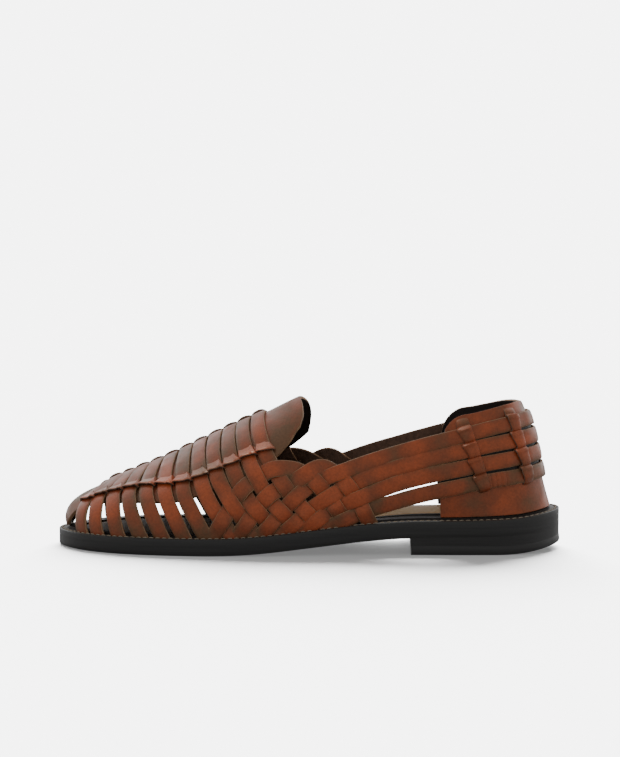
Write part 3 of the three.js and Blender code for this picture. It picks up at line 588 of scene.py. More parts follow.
class Shape:
    """Points in millimetres and faces with their finishes, gathered for one piece."""

    def __init__(self):
        self.points = []
        self.faces = []
        self.finish = []
        self.tones = []

    def add(self, points, faces, finish, tone=0.5):
        start = len(self.points)
        self.points.extend(map(tuple, np.asarray(points).reshape(-1, 3)))
        self.faces.extend(tuple(start + k for k in face) for face in faces)
        self.finish.extend(finish)
        self.tones.extend(np.broadcast_to(np.ravel(tone), len(self.points) - start))

    def tube(self, rings, finish, closed=False, caps=True, tone=0.5, cap_finish=CUT):
        """Skin over rings of points, each finish belonging to one strip between two neighbours."""
        rings = np.asarray(rings)
        count, sides = rings.shape[:2]
        faces = []
        kinds = []
        for i in range(count if closed else count - 1):
            here = i * sides
            after = ((i + 1) % count) * sides
            for k in range(sides):
                m = (k + 1) % sides
                faces.append((here + k, here + m, after + m, after + k))
                kinds.append(finish[k])
        if caps and not closed:
            last = (count - 1) * sides
            faces.append(tuple(reversed(range(sides))))
            faces.append(tuple(range(last, last + sides)))
            kinds += [cap_finish, cap_finish]
        self.add(rings, faces, kinds, tone)

    def piece(self, name, materials):
        mesh = bpy.data.meshes.new(name)
        mesh.from_pydata([tuple(c * MM for c in p) for p in self.points], [], self.faces)
        for material in materials:
            mesh.materials.append(material)
        mesh.polygons.foreach_set("material_index", self.finish)
        tone = mesh.attributes.new("tone", "FLOAT", "POINT")
        tone.data.foreach_set("value", self.tones)
        mesh.polygons.foreach_set("use_smooth", [True] * len(mesh.polygons))
        mesh.update()
        mesh.validate()
        mesh.set_sharp_from_angle(angle=SHARP_ANGLE)
        return add_to_scene(name, mesh)


def strap_rings(strap, thick, heights, section, minus, plus):
    """Rings of a section along a strap's route, with half widths to either side."""
    centre = strap.point + strap.normal * heights[:, None]
    forward = np.gradient(centre, axis=0)
    across = np.cross(strap.normal, forward)
    across /= np.linalg.norm(across, axis=1)[:, None]
    up = np.cross(forward, across)
    up /= np.linalg.norm(up, axis=1)[:, None]
    reach = section[None, :, 0] * np.where(section[None, :, 0] < 0, minus[:, None], plus[:, None])
    raised = up[:, None] * (section[None, :, 1:] * thick)
    return centre[:, None] + across[:, None] * reach[..., None] + raised


def strap_tones_with_painted_shade(heights, point, tone):
    """Tone of a strap: redder in its middle and browner at its edges, partly burnished edge and partly
    painted shade;
    lighter where it rises and darker in dips under other straps and bands, painted light and painted shade;
    and darker towards the sole.
    """
    middle = 1 - np.abs(SECTION[:, 0]) ** 3
    above_sole = ease((point[:, 2] - feather_z(point[:, 0])) / TONE["sole_run"])
    across = TONE["middle"] * (middle[None] - TONE["even"])
    # Painted shade at the edges and in dips, painted light on rises, and darker towards the sole
    return tone + across + TONE["rise"] * heights[:, None] + TONE["sole"] * (above_sole[:, None] - 1)


def cross_point(one, other):
    """Where two straps come nearest, and how near."""
    gaps = np.linalg.norm(one.point[:, None] - other.point[None], axis=2)
    i, j = np.unravel_index(np.argmin(gaps), gaps.shape)
    return (one.point[i] + other.point[j]) / 2, gaps[i, j]


class Weave:
    """All straps of the upper, with the places where they pass over and under each other."""

    def __init__(self, sizes):
        self.lift = sizes.weave_lift / MM
        self.dip = sizes.bridge_dip / MM
        self.vamp = [self.vamp_strap(number, *row) for number, row in enumerate(VAMP_STRAPS)]
        self.throat = [[self.throat_strand(inner, *row) for row in THROAT_STRANDS] for inner in SIDES]
        self.heel = [self.heel_strap(wider, *row) for wider, row in zip(QUARTER_WIDER, HEEL_STRANDS)]
        self.cross_over()
        self.pass_bridges()
        self.step_quarter()

    @staticmethod
    def vamp_strap(number, end, wall, bridge, ridge, inner_back):
        sides = []
        for inner, at, back in ((False, bridge, 0), (True, ridge, inner_back)):
            on_wall = place_on(wall[0] + back, wall[1], inner)
            sides.append([sole_end(end + back, inner), on_wall, place_on(*at, inner)])
        plain_width = TOE_WIDTH if number < TOE_STRAPS else VAMP_WIDTH
        widths = plain_width if number < FIRST_WOVEN_STRAP else WOVEN_WIDTH
        return Strap(sides[0] + sides[1][::-1], widths)

    @staticmethod
    def throat_strand(inner, start, via, end):
        places = [sole_end(start, inner), *[place_on(*at, inner) for at in via], sole_end(end, inner)]
        return Strap(places, THROAT_WIDTH)

    @staticmethod
    def heel_strap(wider, start, via, back, rise):
        sides = [[sole_end(start, inner), *[place_on(x, z + rise * inner, inner) for x, z in via]]
                 for inner in SIDES]
        behind = np.array([1.0, float(rise_at(np.float64(1.0), False, back))])
        wrapped = [2 - spot for spot in sides[1][::-1]]
        widths = [(share, width + wider * math.sin(math.pi * share)) for share, width in HEEL_WIDTH]
        return Strap(sides[0] + [behind] + wrapped, widths, spacing=HEEL_SPACING)

    def cross_over(self):
        """Rising strands pass over and under falling ones in turn."""
        for inner in SIDES:
            ends = (1 - WOVEN_SHARE, 1.0) if inner else (0.0, WOVEN_SHARE)
            rising = [strand.part(0, THROAT_TURN) for strand in self.throat[inner]]
            rising += [strap.part(*ends) for strap in self.heel]
            falling = [strap.part(*ends) for strap in self.vamp[FIRST_WOVEN_STRAP:]]
            falling += [strand.part(THROAT_TURN, 1) for strand in self.throat[inner]]
            for i, up in enumerate(rising):
                for j, down in enumerate(falling):
                    if up.marks is down.marks:
                        continue
                    at, gap = cross_point(up, down)
                    if gap > CROSSING_GAP or at[2] < feather_z(at[0]) + CROSSING_LOW:
                        continue
                    sign = 1 if (i + j) % 2 == 0 else -1
                    up.mark(at, sign * self.lift)
                    down.mark(at, -sign * self.lift)

    def pass_bridges(self):
        """Vamp straps lie down on the apron and under the bands at its edges."""
        for strap, (_, _, bridge, ridge, _) in zip(self.vamp, VAMP_STRAPS):
            first = strap.travel_at(last_point(*place_on(*bridge, False)))
            last = strap.travel_at(last_point(*place_on(*ridge, True)))
            strap.marks += [(at, -self.dip) for at in np.linspace(first, last, APRON_MARKS)]

    def step_quarter(self):
        """Heel straps step like shingles along the quarter and lie down under the counter's bands."""
        for strap, step in zip(self.heel, QUARTER_STEP):
            stops = [(QUARTER_X, step), *[(x, -self.dip) for x in BAND_X]]
            for side in (-1, 1):
                on_side = np.sign(strap.point[:, 1]) == side
                for x, height in stops:
                    away = np.where(on_side, np.abs(strap.point[:, 0] - x), np.inf)
                    strap.mark(strap.point[int(np.argmin(away))], height)


# Finishes
def set_inputs(tree, node, inputs):
    """Links each input of a node to an output, or sets its value."""
    for key, value in inputs.items():
        if isinstance(value, bpy.types.NodeSocket):
            tree.links.new(value, node.inputs[key])
        else:
            node.inputs[key].default_value = value


def add_node(tree, kind, inputs, output, **settings):
    """Adds a node and gives one of its outputs."""
    node = tree.nodes.new("ShaderNode" + kind)
    for name, value in settings.items():
        setattr(node, name, value)
    set_inputs(tree, node, inputs)
    return node.outputs[output]


def new_material(name):
    material = bpy.data.materials.new(name)
    material.use_nodes = True
    return material, material.node_tree, material.node_tree.nodes["Principled BSDF"]


def noise(tree, scale, detail, stretch=None):
    where = add_node(tree, "TexCoord", {}, "Object")
    if stretch is not None:
        where = add_node(tree, "Mapping", {"Vector": where, "Scale": stretch}, "Vector")
    return add_node(tree, "TexNoise", {"Vector": where, "Scale": scale, "Detail": detail}, "Fac")


def ramp(tree, source, stops):
    output = add_node(tree, "ValToRGB", {"Fac": source}, "Color")
    elements = output.node.color_ramp.elements
    while len(elements) < len(stops):
        elements.new(0.5)
    for element, (at, shade) in zip(elements, stops):
        element.position = at
        element.color = (*shade[:3], 1.0)
    return output


def multiply(tree, share, one, other):
    """One colour darkened by a share of another."""
    colour_inputs = {"Factor": share, 6: one, 7: other}
    return add_node(tree, "Mix", colour_inputs, 2, data_type="RGBA", blend_type="MULTIPLY")


def spread(tree, source, to, span=(0.0, 1.0)):
    """Stretches a span of values to another."""
    limits = {"From Min": span[0], "From Max": span[1], "To Min": to[0], "To Max": to[1]}
    return add_node(tree, "MapRange", {"Value": source, **limits}, "Result")


def bump(tree, height, strength, distance):
    return add_node(tree, "Bump", {"Height": height, "Strength": strength, "Distance": distance}, "Normal")


# Middle part of a noise, where most of its values lie
NOISE_SPAN = (0.3, 0.7)
PITS = (0.66, 0.64, 0.62)
BARE_GRAIN = (1.08, 1.06, 1.05)


def burnished_leather(name, dark, mid, light):
    """Waxed strap leather: clouded red-brown, browner at the edges, with fine grain and a soft coat. Its tone
    attribute carries painted shade and painted light as well.
    """
    material, tree, shader = new_material(name)
    tone = add_node(tree, "Attribute", {}, "Fac", attribute_name="tone")
    cloud = spread(tree, noise(tree, scale=55.0, detail=4.0), (-0.45, 0.45), NOISE_SPAN)
    clouded = add_node(tree, "Math", {0: cloud, 1: tone}, "Value", operation="ADD")
    tan_and_painted_shade = ramp(tree, clouded, [(0.05, dark), (0.5, mid), (0.95, light)])
    speckle = ramp(tree, noise(tree, scale=700.0, detail=6.0), [(0.3, PITS), (0.62, BARE_GRAIN)])
    set_inputs(tree, shader, {
        "Base Color": multiply(tree, 0.55, tan_and_painted_shade, speckle),
        "Roughness": spread(tree, noise(tree, scale=140.0, detail=4.0), (0.3, 0.5), NOISE_SPAN),
        "Specular IOR Level": 0.5,
        "Specular Tint": (1.0, 0.75, 0.52, 1.0),
        "Coat Weight": 0.06,
        "Coat Roughness": 0.25,
        "Normal": bump(tree, noise(tree, scale=1300.0, detail=5.0), strength=0.14, distance=0.0004),
    })
    return material


def plain_surface(name, dark, light, scale, rough, grain=0.1, stretch=None, specular=0.4):
    """Matt surface that varies a little between two colours."""
    material, tree, shader = new_material(name)
    patches = noise(tree, scale, 5.0, stretch)
    set_inputs(tree, shader, {
        "Base Color": ramp(tree, patches, list(zip(NOISE_SPAN, (dark, light)))),
        "Roughness": spread(tree, patches, rough),
        "Specular IOR Level": specular,
        "Normal": bump(tree, patches, strength=grain, distance=0.0003),
    })
    return material


# Plain finishes by their colour in the panel: name, share of the colour in the darker parts, how they vary
PLAIN_FINISHES = {
    # The cut edge is pale raw leather, made paler still as a painted highlight along the strap edges
    "cut_edge": ("cut_edge", 0.5, {"scale": 260.0, "rough": (0.6, 0.75)}),
    "flesh": ("flesh_side", 0.55, {"scale": 420.0, "rough": (0.75, 0.9), "grain": 0.3}),
    "lining": ("dark_lining", 0.6, {"scale": 300.0, "rough": (0.5, 0.65), "grain": 0.15}),
    "sole": ("sole_edge_black", 0.7, {
        "scale": 1.0, "rough": (0.36, 0.5), "grain": 0.25, "stretch": (25.0, 25.0, 900.0), "specular": 0.35,
    }),
    "welt": ("welt_top", 0.6, {"scale": 320.0, "rough": (0.5, 0.68), "grain": 0.2}),
    "insole": ("insole_leather", 0.82, {"scale": 60.0, "rough": (0.55, 0.7), "grain": 0.06, "specular": 0.2}),
    "thread": ("welt_thread", 0.7, {"scale": 900.0, "rough": (0.6, 0.75), "grain": 0.2}),
}
LEATHER = ("strap", "cut_edge", "flesh")
SHEET = ("strap", "cut_edge", "lining")

# Insole under the vamp, darkened as painted shade of the closed toe: colour it is darkened by, its share, and
# between which x in metres that fades
TOE_SHADE_COLOUR = (0.1, 0.09, 0.08, 1.0)
TOE_SHADE_SHARE = 0.85
TOE_SHADE_FADE = (-0.02, 0.04)

# Finishes that are made already
MADE = {}


def paint_toe_shade(material):
    """Painted shade: the insole is darkened where the vamp covers it."""
    tree = material.node_tree
    base = tree.nodes["Principled BSDF"].inputs["Base Color"]
    where = add_node(tree, "TexCoord", {}, "Object")
    along = add_node(tree, "SeparateXYZ", {"Vector": where}, "X")
    share = spread(tree, along, (TOE_SHADE_SHARE, 0.0), TOE_SHADE_FADE)
    tree.links.new(multiply(tree, share, base.links[0].from_socket, TOE_SHADE_COLOUR), base)


def finish_of(name):
    """A finish of the shoe, made once from the colours in the panel."""
    if name in MADE:
        return MADE[name]
    colours = bpy.context.scene.loafer_colours
    if name == "strap":
        tans = (colours.leather_dark, colours.leather, colours.leather_light)
        MADE[name] = burnished_leather("strap_leather", *tans)
        return MADE[name]
    label, dark_share, form = PLAIN_FINISHES[name]
    light = getattr(colours, name)
    MADE[name] = plain_surface(label, [c * dark_share for c in light], light, **form)
    if name == "insole":
        paint_toe_shade(MADE[name])
    return MADE[name]


def weld(piece):
    """Joins points that lie together, drops faces that shrink to nothing, and turns the skin outwards."""
    work = bmesh.new()
    work.from_mesh(piece.data)
    bmesh.ops.remove_doubles(work, verts=work.verts, dist=WELD_DISTANCE)
    bmesh.ops.dissolve_degenerate(work, dist=SHRUNK_DISTANCE, edges=work.edges)
    bmesh.ops.recalc_face_normals(work, faces=work.faces)
    work.to_mesh(piece.data)
    work.free()
    piece.data.set_sharp_from_angle(angle=SHARP_ANGLE)


def soften(piece, width):
    """Rounds the cut edges of a sheet."""
    mesh = piece.data
    finish = {}
    for polygon in mesh.polygons:
        for key in polygon.edge_keys:
            finish.setdefault(key, set()).add(polygon.material_index)
    weights = mesh.attributes.new("bevel_weight_edge", "FLOAT", "EDGE")
    weights.data.foreach_set("value", [float(len(finish[edge.key]) > 1) for edge in mesh.edges])
    bevel = piece.modifiers.new("edge", "BEVEL")
    bevel.width = width * MM
    bevel.segments = BEVEL_SEGMENTS
    bevel.limit_method = "WEIGHT"
    bevel.harden_normals = False


def place(piece, nodes):
    """The piece rides with the shoe and stands for the named solids, which it hides."""
    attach(piece, BODY)
    if nodes:
        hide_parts(*nodes)


def add_piece(shape, name, finishes, nodes, welded=True, edge=0.0):
    """Makes a piece from its shape, with its points joined and its cut edges rounded where that is asked."""
    piece = shape.piece(name, [finish_of(finish) for finish in finishes])
    if welded:
        weld(piece)
    if edge > 0:
        soften(piece, edge)
    place(piece, nodes)


# Sole: how far the heel stack reaches into the outsole
OVERLAP = 0.4

# Finishes of a layer of the sole
SIDE, TOP = 0, 1

# Edges of the sole's layers from the underside up: extra inset, share of the height
FLUSH_EDGE = [(0.5, 0.0), (0.14, 0.02), (0.0, 0.07), (0.0, 0.5), (0.0, 1.0)]
PLAIN_EDGE = [(0.0, 0.0), (0.0, 0.5), (0.0, 1.0)]
FLARED_EDGE = [(0.7, 0.0), (0.2, 0.04), (0.0, 0.14), (0.12, 0.5), (0.3, 0.9), (LIFT_FLARE, 1.0)]
ROUND_EDGE = [(0.9, 0.0), (0.2, 0.04), (0.0, 0.12), (0.0, 0.8), (0.3, 0.95), (1.0, 1.0)]

# Section of the welt with its groove: place across and height, both as shares, and the faces' finishes
WELT_SECTION = [
    (0.0, 0.0), (0.0, 0.82), (0.012, 0.94), (0.05, 1.0), (0.1, 1.0), (0.118, 0.95), (0.16, 0.95), (0.18, 1.0),
    (0.4, 1.0), (1.0, 1.0), (1.0, 0.0),
]
WELT_FINISH = [*[SIDE] * 3, *[TOP] * 7, SIDE]

# Bow of one stitch: place along in shares of its length, height in half threads
STITCH_BOW = [(-0.44, -0.9), (-0.36, -0.1), (-0.2, 0.35), (0.0, 0.5), (0.2, 0.35), (0.36, -0.1), (0.44, -0.9)]

# Stitch: share of the pitch, how deep it lies, how flat it is pressed, sides of the thread, points of the
# welt that it follows, and the step ahead that gives its direction
STITCH = {"share": 0.82, "sunk": 0.05, "flat": 0.8, "sides": 8, "points": 400, "ahead": 0.4}


def sole_shares(first):
    even = np.linspace(0, 1, SOLE_STATIONS)
    eased = (even + (1 - np.cos(np.pi * even)) / 2) / 2
    return first + (1 - first) * eased if first > 0 else eased


def raised(loop, under, over, share):
    """A flat loop, raised to a share of the height between two surfaces."""
    low = under(loop[:, 0])
    return np.column_stack([loop, low + (over(loop[:, 0]) - low) * share])


def sole_slab(inset, first, under, over, profile, top=SIDE):
    """Layer of the sole with rounded edges, between two heights, over a stretch of its length."""
    shape = Shape()
    shares = sole_shares(first)
    count = len(shares)
    rings = []
    for extra, share in profile:
        outer, inner = halves_of(inset + extra)
        loop = np.vstack([outer(shares), inner(shares[::-1])[1:]])
        rings.append(raised(loop[:-1] if first == 0 else loop, under, over, share))
    shape.tube(rings, [SIDE] * len(rings[0]), caps=False)
    for ring, finish, flip in ((rings[0], SIDE, False), (rings[-1], top, True)):
        inner = np.vstack([ring[count - 1:], ring[:1]]) if first == 0 else ring[count - 1:]
        cap_between(shape, ring[:count], inner[::-1], finish, flip)
    return shape


def cap_between(shape, outer, inner, finish, flip):
    """Closes a slab between its outer and inner edge."""
    t = np.linspace(0, 1, CAP_COLUMNS + 1)
    grid = outer[:, None] * (1 - t)[None, :, None] + inner[:, None] * t[None, :, None]
    faces = []
    for i in range(len(outer) - 1):
        for k in range(CAP_COLUMNS):
            a = i * (CAP_COLUMNS + 1) + k
            quad = (a, a + 1, a + CAP_COLUMNS + 2, a + CAP_COLUMNS + 1)
            faces.append(quad[::-1] if flip else quad)
    shape.add(grid, faces, [finish] * len(faces))


def edge_ring(inset, shares):
    outer, inner = halves_of(inset)
    return np.vstack([outer(shares), inner(shares[::-1])[1:-1]])


def band_round(outer_inset, inner_inset, under, over, section, finish):
    """Band round the sole: its section gives place across and height, both as shares."""
    shape = Shape()
    shares = sole_shares(0)
    columns = []
    for across, height in section:
        loop = edge_ring(outer_inset + (inner_inset - outer_inset) * across, shares)
        columns.append(raised(loop, under, over, height))
    shape.tube(np.stack(columns, 1), finish, closed=True)
    return shape


def make_sole():
    outsole = sole_slab(0, 0, sole_under, outsole_top, FLUSH_EDGE)
    add_piece(outsole, "outsole_smooth", ["sole"], ["outsole"])
    welt = band_round(0, WELT_BAND, outsole_top, welt_top, WELT_SECTION, WELT_FINISH)
    add_piece(welt, "welt_smooth", ["sole", "welt"], ["welt"])
    stack = sole_slab(0, BREAST_SHARE, lift_top, lambda x: sole_under(x) + OVERLAP, PLAIN_EDGE)
    add_piece(stack, "heel_stack_smooth", ["sole"], ["heel_stack"])
    top_piece = sole_slab(-LIFT_FLARE, BREAST_SHARE, lift_under, lift_top, FLARED_EDGE)
    add_piece(top_piece, "heel_top_piece_smooth", ["sole"], ["heel_top_piece"])
    insole = sole_slab(WELT_BAND + INSOLE_CLEAR, 0, insole_under, insole_top, ROUND_EDGE, TOP)
    add_piece(insole, "insole_sheet", ["lining", "insole"], ["insole"])


def make_stitches(sizes):
    """Lock stitches in the groove of the welt, all the way round."""
    loop = edge_ring(sizes.stitch_inset / MM, np.linspace(0, 1, STITCH["points"]))
    closed = np.vstack([loop, loop[:1]])
    travelled = lengths_along(closed)
    whole = travelled[-1]
    count = int(whole / (sizes.stitch_pitch / MM))
    thread = sizes.thread_thickness / MM / 2
    around = np.linspace(0, 2 * np.pi, STITCH["sides"], endpoint=False)[:, None]
    shape = Shape()
    for i in range(count):
        rings = []
        for along, height in STITCH_BOW:
            at = ((i + 0.5 + along * STITCH["share"]) * whole / count) % whole
            here = points_at(at, travelled, closed)
            forward = points_at((at + STITCH["ahead"]) % whole, travelled, closed) - here
            forward /= np.linalg.norm(forward)
            side = np.array([-forward[1], forward[0], 0.0])
            centre = np.array([*here, float(welt_top(here[0])) - STITCH["sunk"] + height * thread])
            round_thread = np.cos(around) * side + np.sin(around) * UPRIGHT * STITCH["flat"]
            rings.append(centre + thread * round_thread)
        shape.tube(rings, [FACE] * STITCH["sides"], cap_finish=FACE)
    add_piece(shape, "welt_stitches", ["thread"], [], welded=False)


# Upper
def crease(strap, number):
    """Small ripples across a heel strap, where the table puts them."""
    ripple = np.zeros(len(strap.point))
    x = strap.point[:, 0]
    for which, start, end, pitch, depth in CREASES:
        if which == number:
            inside = ease((x - start) / CREASE_FADE) * ease((end - x) / CREASE_FADE)
            ripple += np.where(strap.point[:, 1] < 0, inside, 0) * depth * np.sin(2 * np.pi * x / pitch)
    return ripple


def strap_shape(straps, low, thick, redder, creased):
    shape = Shape()
    rng = np.random.default_rng(TONE_SEED)
    for number, strap in enumerate(straps):
        heights = strap.heights()
        tones = strap_tones_with_painted_shade(heights, strap.point, redder + float(rng.uniform(*STRAP_TONE)))
        if creased:
            heights = heights + crease(strap, number)
        rings = strap_rings(strap, thick, low + heights, SECTION, strap.half, strap.half)
        shape.tube(rings, STRAP_FINISH, tone=tones)
    return shape


def make_straps(sizes):
    weave = Weave(sizes)
    low = sizes.strap_height / MM
    thick = sizes.strap_thickness / MM
    groups = {"vamp_straps": weave.vamp, "throat_strands": sum(weave.throat, []), "heel_straps": weave.heel}
    for name, straps in groups.items():
        shape = strap_shape(straps, low, thick, REDDER[name], creased=straps is weave.heel)
        add_piece(shape, name, LEATHER, ["upper"], welded=False)
    margin = band_round(WELT_WIDTH - MARGIN_OUT, WELT_WIDTH + MARGIN_IN, lambda x: feather_z(x) - FEATHER_GAP,
                        lambda x: feather_z(x) + MARGIN_THICK, MARGIN_SECTION, [FACE] * len(MARGIN_SECTION))
    add_piece(margin, "lasting_margin", ["lining"], ["upper"])


def plate_floor(s, inner):
    return rise_at(s, inner, wall_base(s, inner) + MARGIN_THICK + SEAT_GAP)


def plate_shape(shares, lower, upper, low, high, tone, joined_top, open_ends, draw_back=None, swell=None,
                in_painted_shade=None):
    """Sheet of leather on the last between two lines, on both sides, as one closed skin."""
    shape = Shape()
    count = len(shares)
    wide = len(ROWS)
    deep = count * wide
    for inner in SIDES:
        start = lower(shares, inner)
        end = upper(shares, inner)
        rise = start[:, None] + (end - start)[:, None] * ROWS[None]
        v = over_crown(rise, inner)
        s = np.repeat(shares[:, None], wide, 1)
        if draw_back is not None:
            s = s - draw_back(s, rise, inner)
        point = last_point(s, v)
        normal = last_normal(s, v)
        if swell is not None:
            point = point + normal * swell(s, rise)[..., None]
        # Faces marked here take the dark back finish on the sheet's face: painted shade
        slot = np.zeros(s.shape, bool) if in_painted_shade is None else in_painted_shade(s, rise, inner)
        grid = np.stack([point + normal * high, point + normal * low])
        faces = []
        kinds = []
        for i in range(count - 1):
            for k in range(wide - 1):
                a = i * wide + k
                faces.append((a, a + wide, a + wide + 1, a + 1))
                kinds.append(BACK if slot[i, k] else FACE)
                faces.append((deep + a, deep + a + 1, deep + a + wide + 1, deep + a + wide))
                kinds.append(BACK)
            a = i * wide
            faces.append((a, deep + a, deep + a + wide, a + wide))
            kinds.append(CUT)
            if not joined_top:
                a += wide - 1
                faces.append((a, a + wide, deep + a + wide, deep + a))
                kinds.append(CUT)
        for column in open_ends:
            for k in range(wide - 1):
                a = column * wide + k
                faces.append((a, a + 1, deep + a + 1, deep + a))
                kinds.append(CUT)
        shape.add(grid, faces, kinds, tone)
    return shape


def band_rings(band, crossings, form, section, inner):
    """Rings of a band that arches over each strap and comes down to the sheet between two straps."""
    centres = np.sort([band.travel_at(at) for at in crossings])
    middles = (centres[1:] + centres[:-1]) / 2
    ends = np.concatenate([[2 * centres[0] - middles[0]], middles, [2 * centres[-1] - middles[-1]]])
    t = band.travelled
    i = np.clip(np.searchsorted(ends, t) - 1, 0, len(centres) - 1)
    loop = np.where(t < centres[i], centres[i] - ends[i], ends[i + 1] - centres[i])
    u = np.clip((t - centres[i]) / loop, -1, 1)
    arch = ease((1 - np.abs(u)) / LOOP_END)
    knob = abs(form["knob"]) * np.exp(-((u - KNOB["at"] * np.sign(form["knob"])) / KNOB["width"]) ** 2)
    heights = form["low"] + form["rise"] * arch + form["bow"] * (1 - u * u) + knob
    heights -= BAND_SINK["depth"] * (2 - ease(t / BAND_SINK["run"]) - ease((t[-1] - t) / BAND_SINK["run"]))
    open_side = form["open"] + form["lean"] * u * arch
    closed_side = np.full(len(t), form["closed"])
    if inner:
        return strap_rings(band, form["thick"], heights, section * (-1, 1), closed_side, open_side), arch
    return strap_rings(band, form["thick"], heights, section, open_side, closed_side), arch


def add_band(shape, places, crossings, form, section, finish, inner):
    band = Strap(places, [(0, 1), (1, 1)], tucked=False, spacing=BAND_SPACING)
    rings, arch = band_rings(band, crossings(band), form, np.array(section), inner)
    # A band is darker where it comes down between two straps, painted shade, and lighter where it arches over
    # one, painted highlight
    tones = np.repeat(BAND_TONE["low"] + BAND_TONE["rise"] * arch, len(section))
    if inner:
        rings = rings[:, ::-1]
        finish = finish[-2::-1] + finish[-1:]
    shape.tube(rings, finish, tone=tones, cap_finish=FACE)


def make_apron(sizes):
    rows = [(place_on(x, z, False)[0], z) for x, z in APRON_EDGE]
    edge_z = smooth_column(rows, 1)
    first, last = rows[0][0], rows[-1][0]
    end = place_on(*TONGUE_END, False)[0]

    def near_end(s, run):
        return ease((s - end + run) / run)

    def lower(s, inner):
        floor = plate_floor(s, inner)
        flank = np.clip((s - APRON_STRIP) / (first - APRON_STRIP), 0, 1)
        at = s - TONGUE_ROUND["inner_low"] * near_end(s, TONGUE_ROUND["inner_run"]) * inner
        tip = np.clip((at - last) / (end - last), 0, 1)
        z = edge_z(at) + (TONGUE_END[1] - edge_z(at)) * tip ** 2
        start = rise_at(s, inner, rows[0][1])
        return np.where(s < first, floor + (start - floor) * flank, rise_at(s, inner, z))

    def draw_back(s, rise, inner):
        up = np.maximum(rise - TONGUE_ROUND["from"], 0) / (1 - TONGUE_ROUND["from"])
        down = np.clip((1 - rise) / TONGUE_ROUND["inner_span"], 0, 1)
        further = TONGUE_ROUND["inner_more"] * np.sin(np.pi * down) * inner
        return near_end(s, TONGUE_ROUND["run"]) * (TONGUE_ROUND["back"] * up ** 2 - further)

    def swell(s, rise):
        return TOE_SWELL["out"] * np.exp(-(s / TOE_SWELL["run"]) ** 2) * np.sin(np.pi * rise) * (1 - rise)

    strip = np.linspace(0, APRON_STRIP, APRON_COLUMNS["strip"])
    shares = np.concatenate([strip, np.linspace(APRON_STRIP, end, APRON_COLUMNS["rest"])[1:]])
    sheet = plate_shape(shares, lower, lambda s, inner: np.ones_like(s), APRON_SHEET["under"],
                        sizes.plate_thickness / MM, TONGUE_TONE, joined_top=True,
                        open_ends=[len(shares) - 1], draw_back=draw_back, swell=swell)
    add_piece(sheet, "apron_sheet", SHEET, ["apron_tongue"], edge=APRON_SHEET["edge"])

    bands = Shape()
    edges = (
        (False, BRIDGE, APRON_BAND, EASED_BAND, BAND_FINISH_PAINTED_SLIT),
        (True, RIDGE, RIDGE_BAND, FREE_BAND, RIDGE_FINISH_PAINTED_GAP),
    )
    for inner, column, form, section, finish in edges:
        bridges = [row[column] for row in VAMP_STRAPS]
        under = [place_on(*bridge, inner) for bridge in bridges]
        before = place_on(*np.add(bridges[0], BAND_START), inner)
        after = place_on(*np.add(bridges[-1], BAND_END), inner)
        crossings = [last_point(*at) for at in under]
        add_band(bands, [before, *under, after], lambda band: crossings, form, section, finish, inner)
    add_piece(bands, BAND_PIECES[0], LEATHER, ["apron_tongue"], welded=False)


def make_counter(sizes):
    top_at = smooth_column(COUNTER_TOP, 1)
    front = place_on(COUNTER_FRONT, COUNTER_TOP[0][1], False)[0]
    weave = Weave(sizes)
    routes = [strap.route for strap in (weave.heel[0], weave.heel[-1])]

    def upper(s, inner):
        level = rise_at(s, inner, COUNTER_LEVEL)
        x = last_point(s, over_crown(level, inner))[..., 0]
        return rise_at(s, inner, top_at(x))

    # Between the top and bottom heel straps the counter's face takes the near-black lining: painted shade of
    # the gaps between the straps
    def in_painted_shade(s, rise, inner):
        top, bottom = (np.interp(2 - s if inner else s, *route.T) for route in routes)
        return (rise < top) & (rise > bottom)

    edge_end = front + COUNTER_COLUMNS["edge_run"]
    edge = np.linspace(front, edge_end, COUNTER_COLUMNS["edge"])
    shares = np.concatenate([edge, np.linspace(edge_end, 1, COUNTER_COLUMNS["rest"])[1:]])
    sheet = plate_shape(shares, plate_floor, upper, COUNTER_SHEET["under"], sizes.plate_thickness / MM,
                        COUNTER_TONE, joined_top=False, open_ends=[0], in_painted_shade=in_painted_shade)
    add_piece(sheet, "counter_sheet", SHEET, ["heel_counter"], edge=COUNTER_SHEET["edge"])

    bands = Shape()
    for inner in SIDES:
        straps = [strap.part(*((0.5, 1.0) if inner else (0.0, 0.5))) for strap in weave.heel]
        for column in (SIDE_BAND, BACK_BAND):
            places = [place_on(x, z, inner) for x, z in column]
            add_band(bands, places, lambda band: [cross_point(band, strap)[0] for strap in straps],
                     COUNTER_BAND, FREE_BAND, BAND_FINISH_PAINTED_SLIT, inner)
    add_piece(bands, BAND_PIECES[1], LEATHER, ["heel_counter"], welded=False)


# Stage
def grey(value):
    return value, value, value, 1.0


def seen_and_lit(tree, kind, seen, lit):
    """Two shades of one surface or sky: as the camera sees it, and as it lights the shoe."""
    as_lit, as_seen = (add_node(tree, kind, {"Color": shade}, 0) for shade in (lit, seen))
    to_camera = add_node(tree, "LightPath", {}, "Is Camera Ray")
    return add_node(tree, "MixShader", {"Fac": to_camera, 1: as_lit, 2: as_seen}, 0)


def make_floor(light):
    """Pale floor, with a little light of its own, so that the shadow on it stays grey."""
    material, tree, shader = new_material("pale_floor")
    tree.nodes.remove(shader)
    surface = seen_and_lit(tree, "BsdfDiffuse", grey(light.floor_seen), grey(light.floor_lit))
    glow = add_node(tree, "Emission", {"Strength": light.shadow_glow}, 0)
    both = add_node(tree, "AddShader", {0: surface, 1: glow}, 0)
    set_inputs(tree, tree.nodes["Material Output"], {"Surface": both})
    corners = [(-1, -1), (1, -1), (1, 1), (-1, 1)]
    mesh = bpy.data.meshes.new("floor")
    mesh.from_pydata([(x * FLOOR_REACH, y * FLOOR_REACH, 0) for x, y in corners], [], [(0, 1, 2, 3)])
    mesh.materials.append(material)
    floor = add_to_scene("floor", mesh)
    return floor


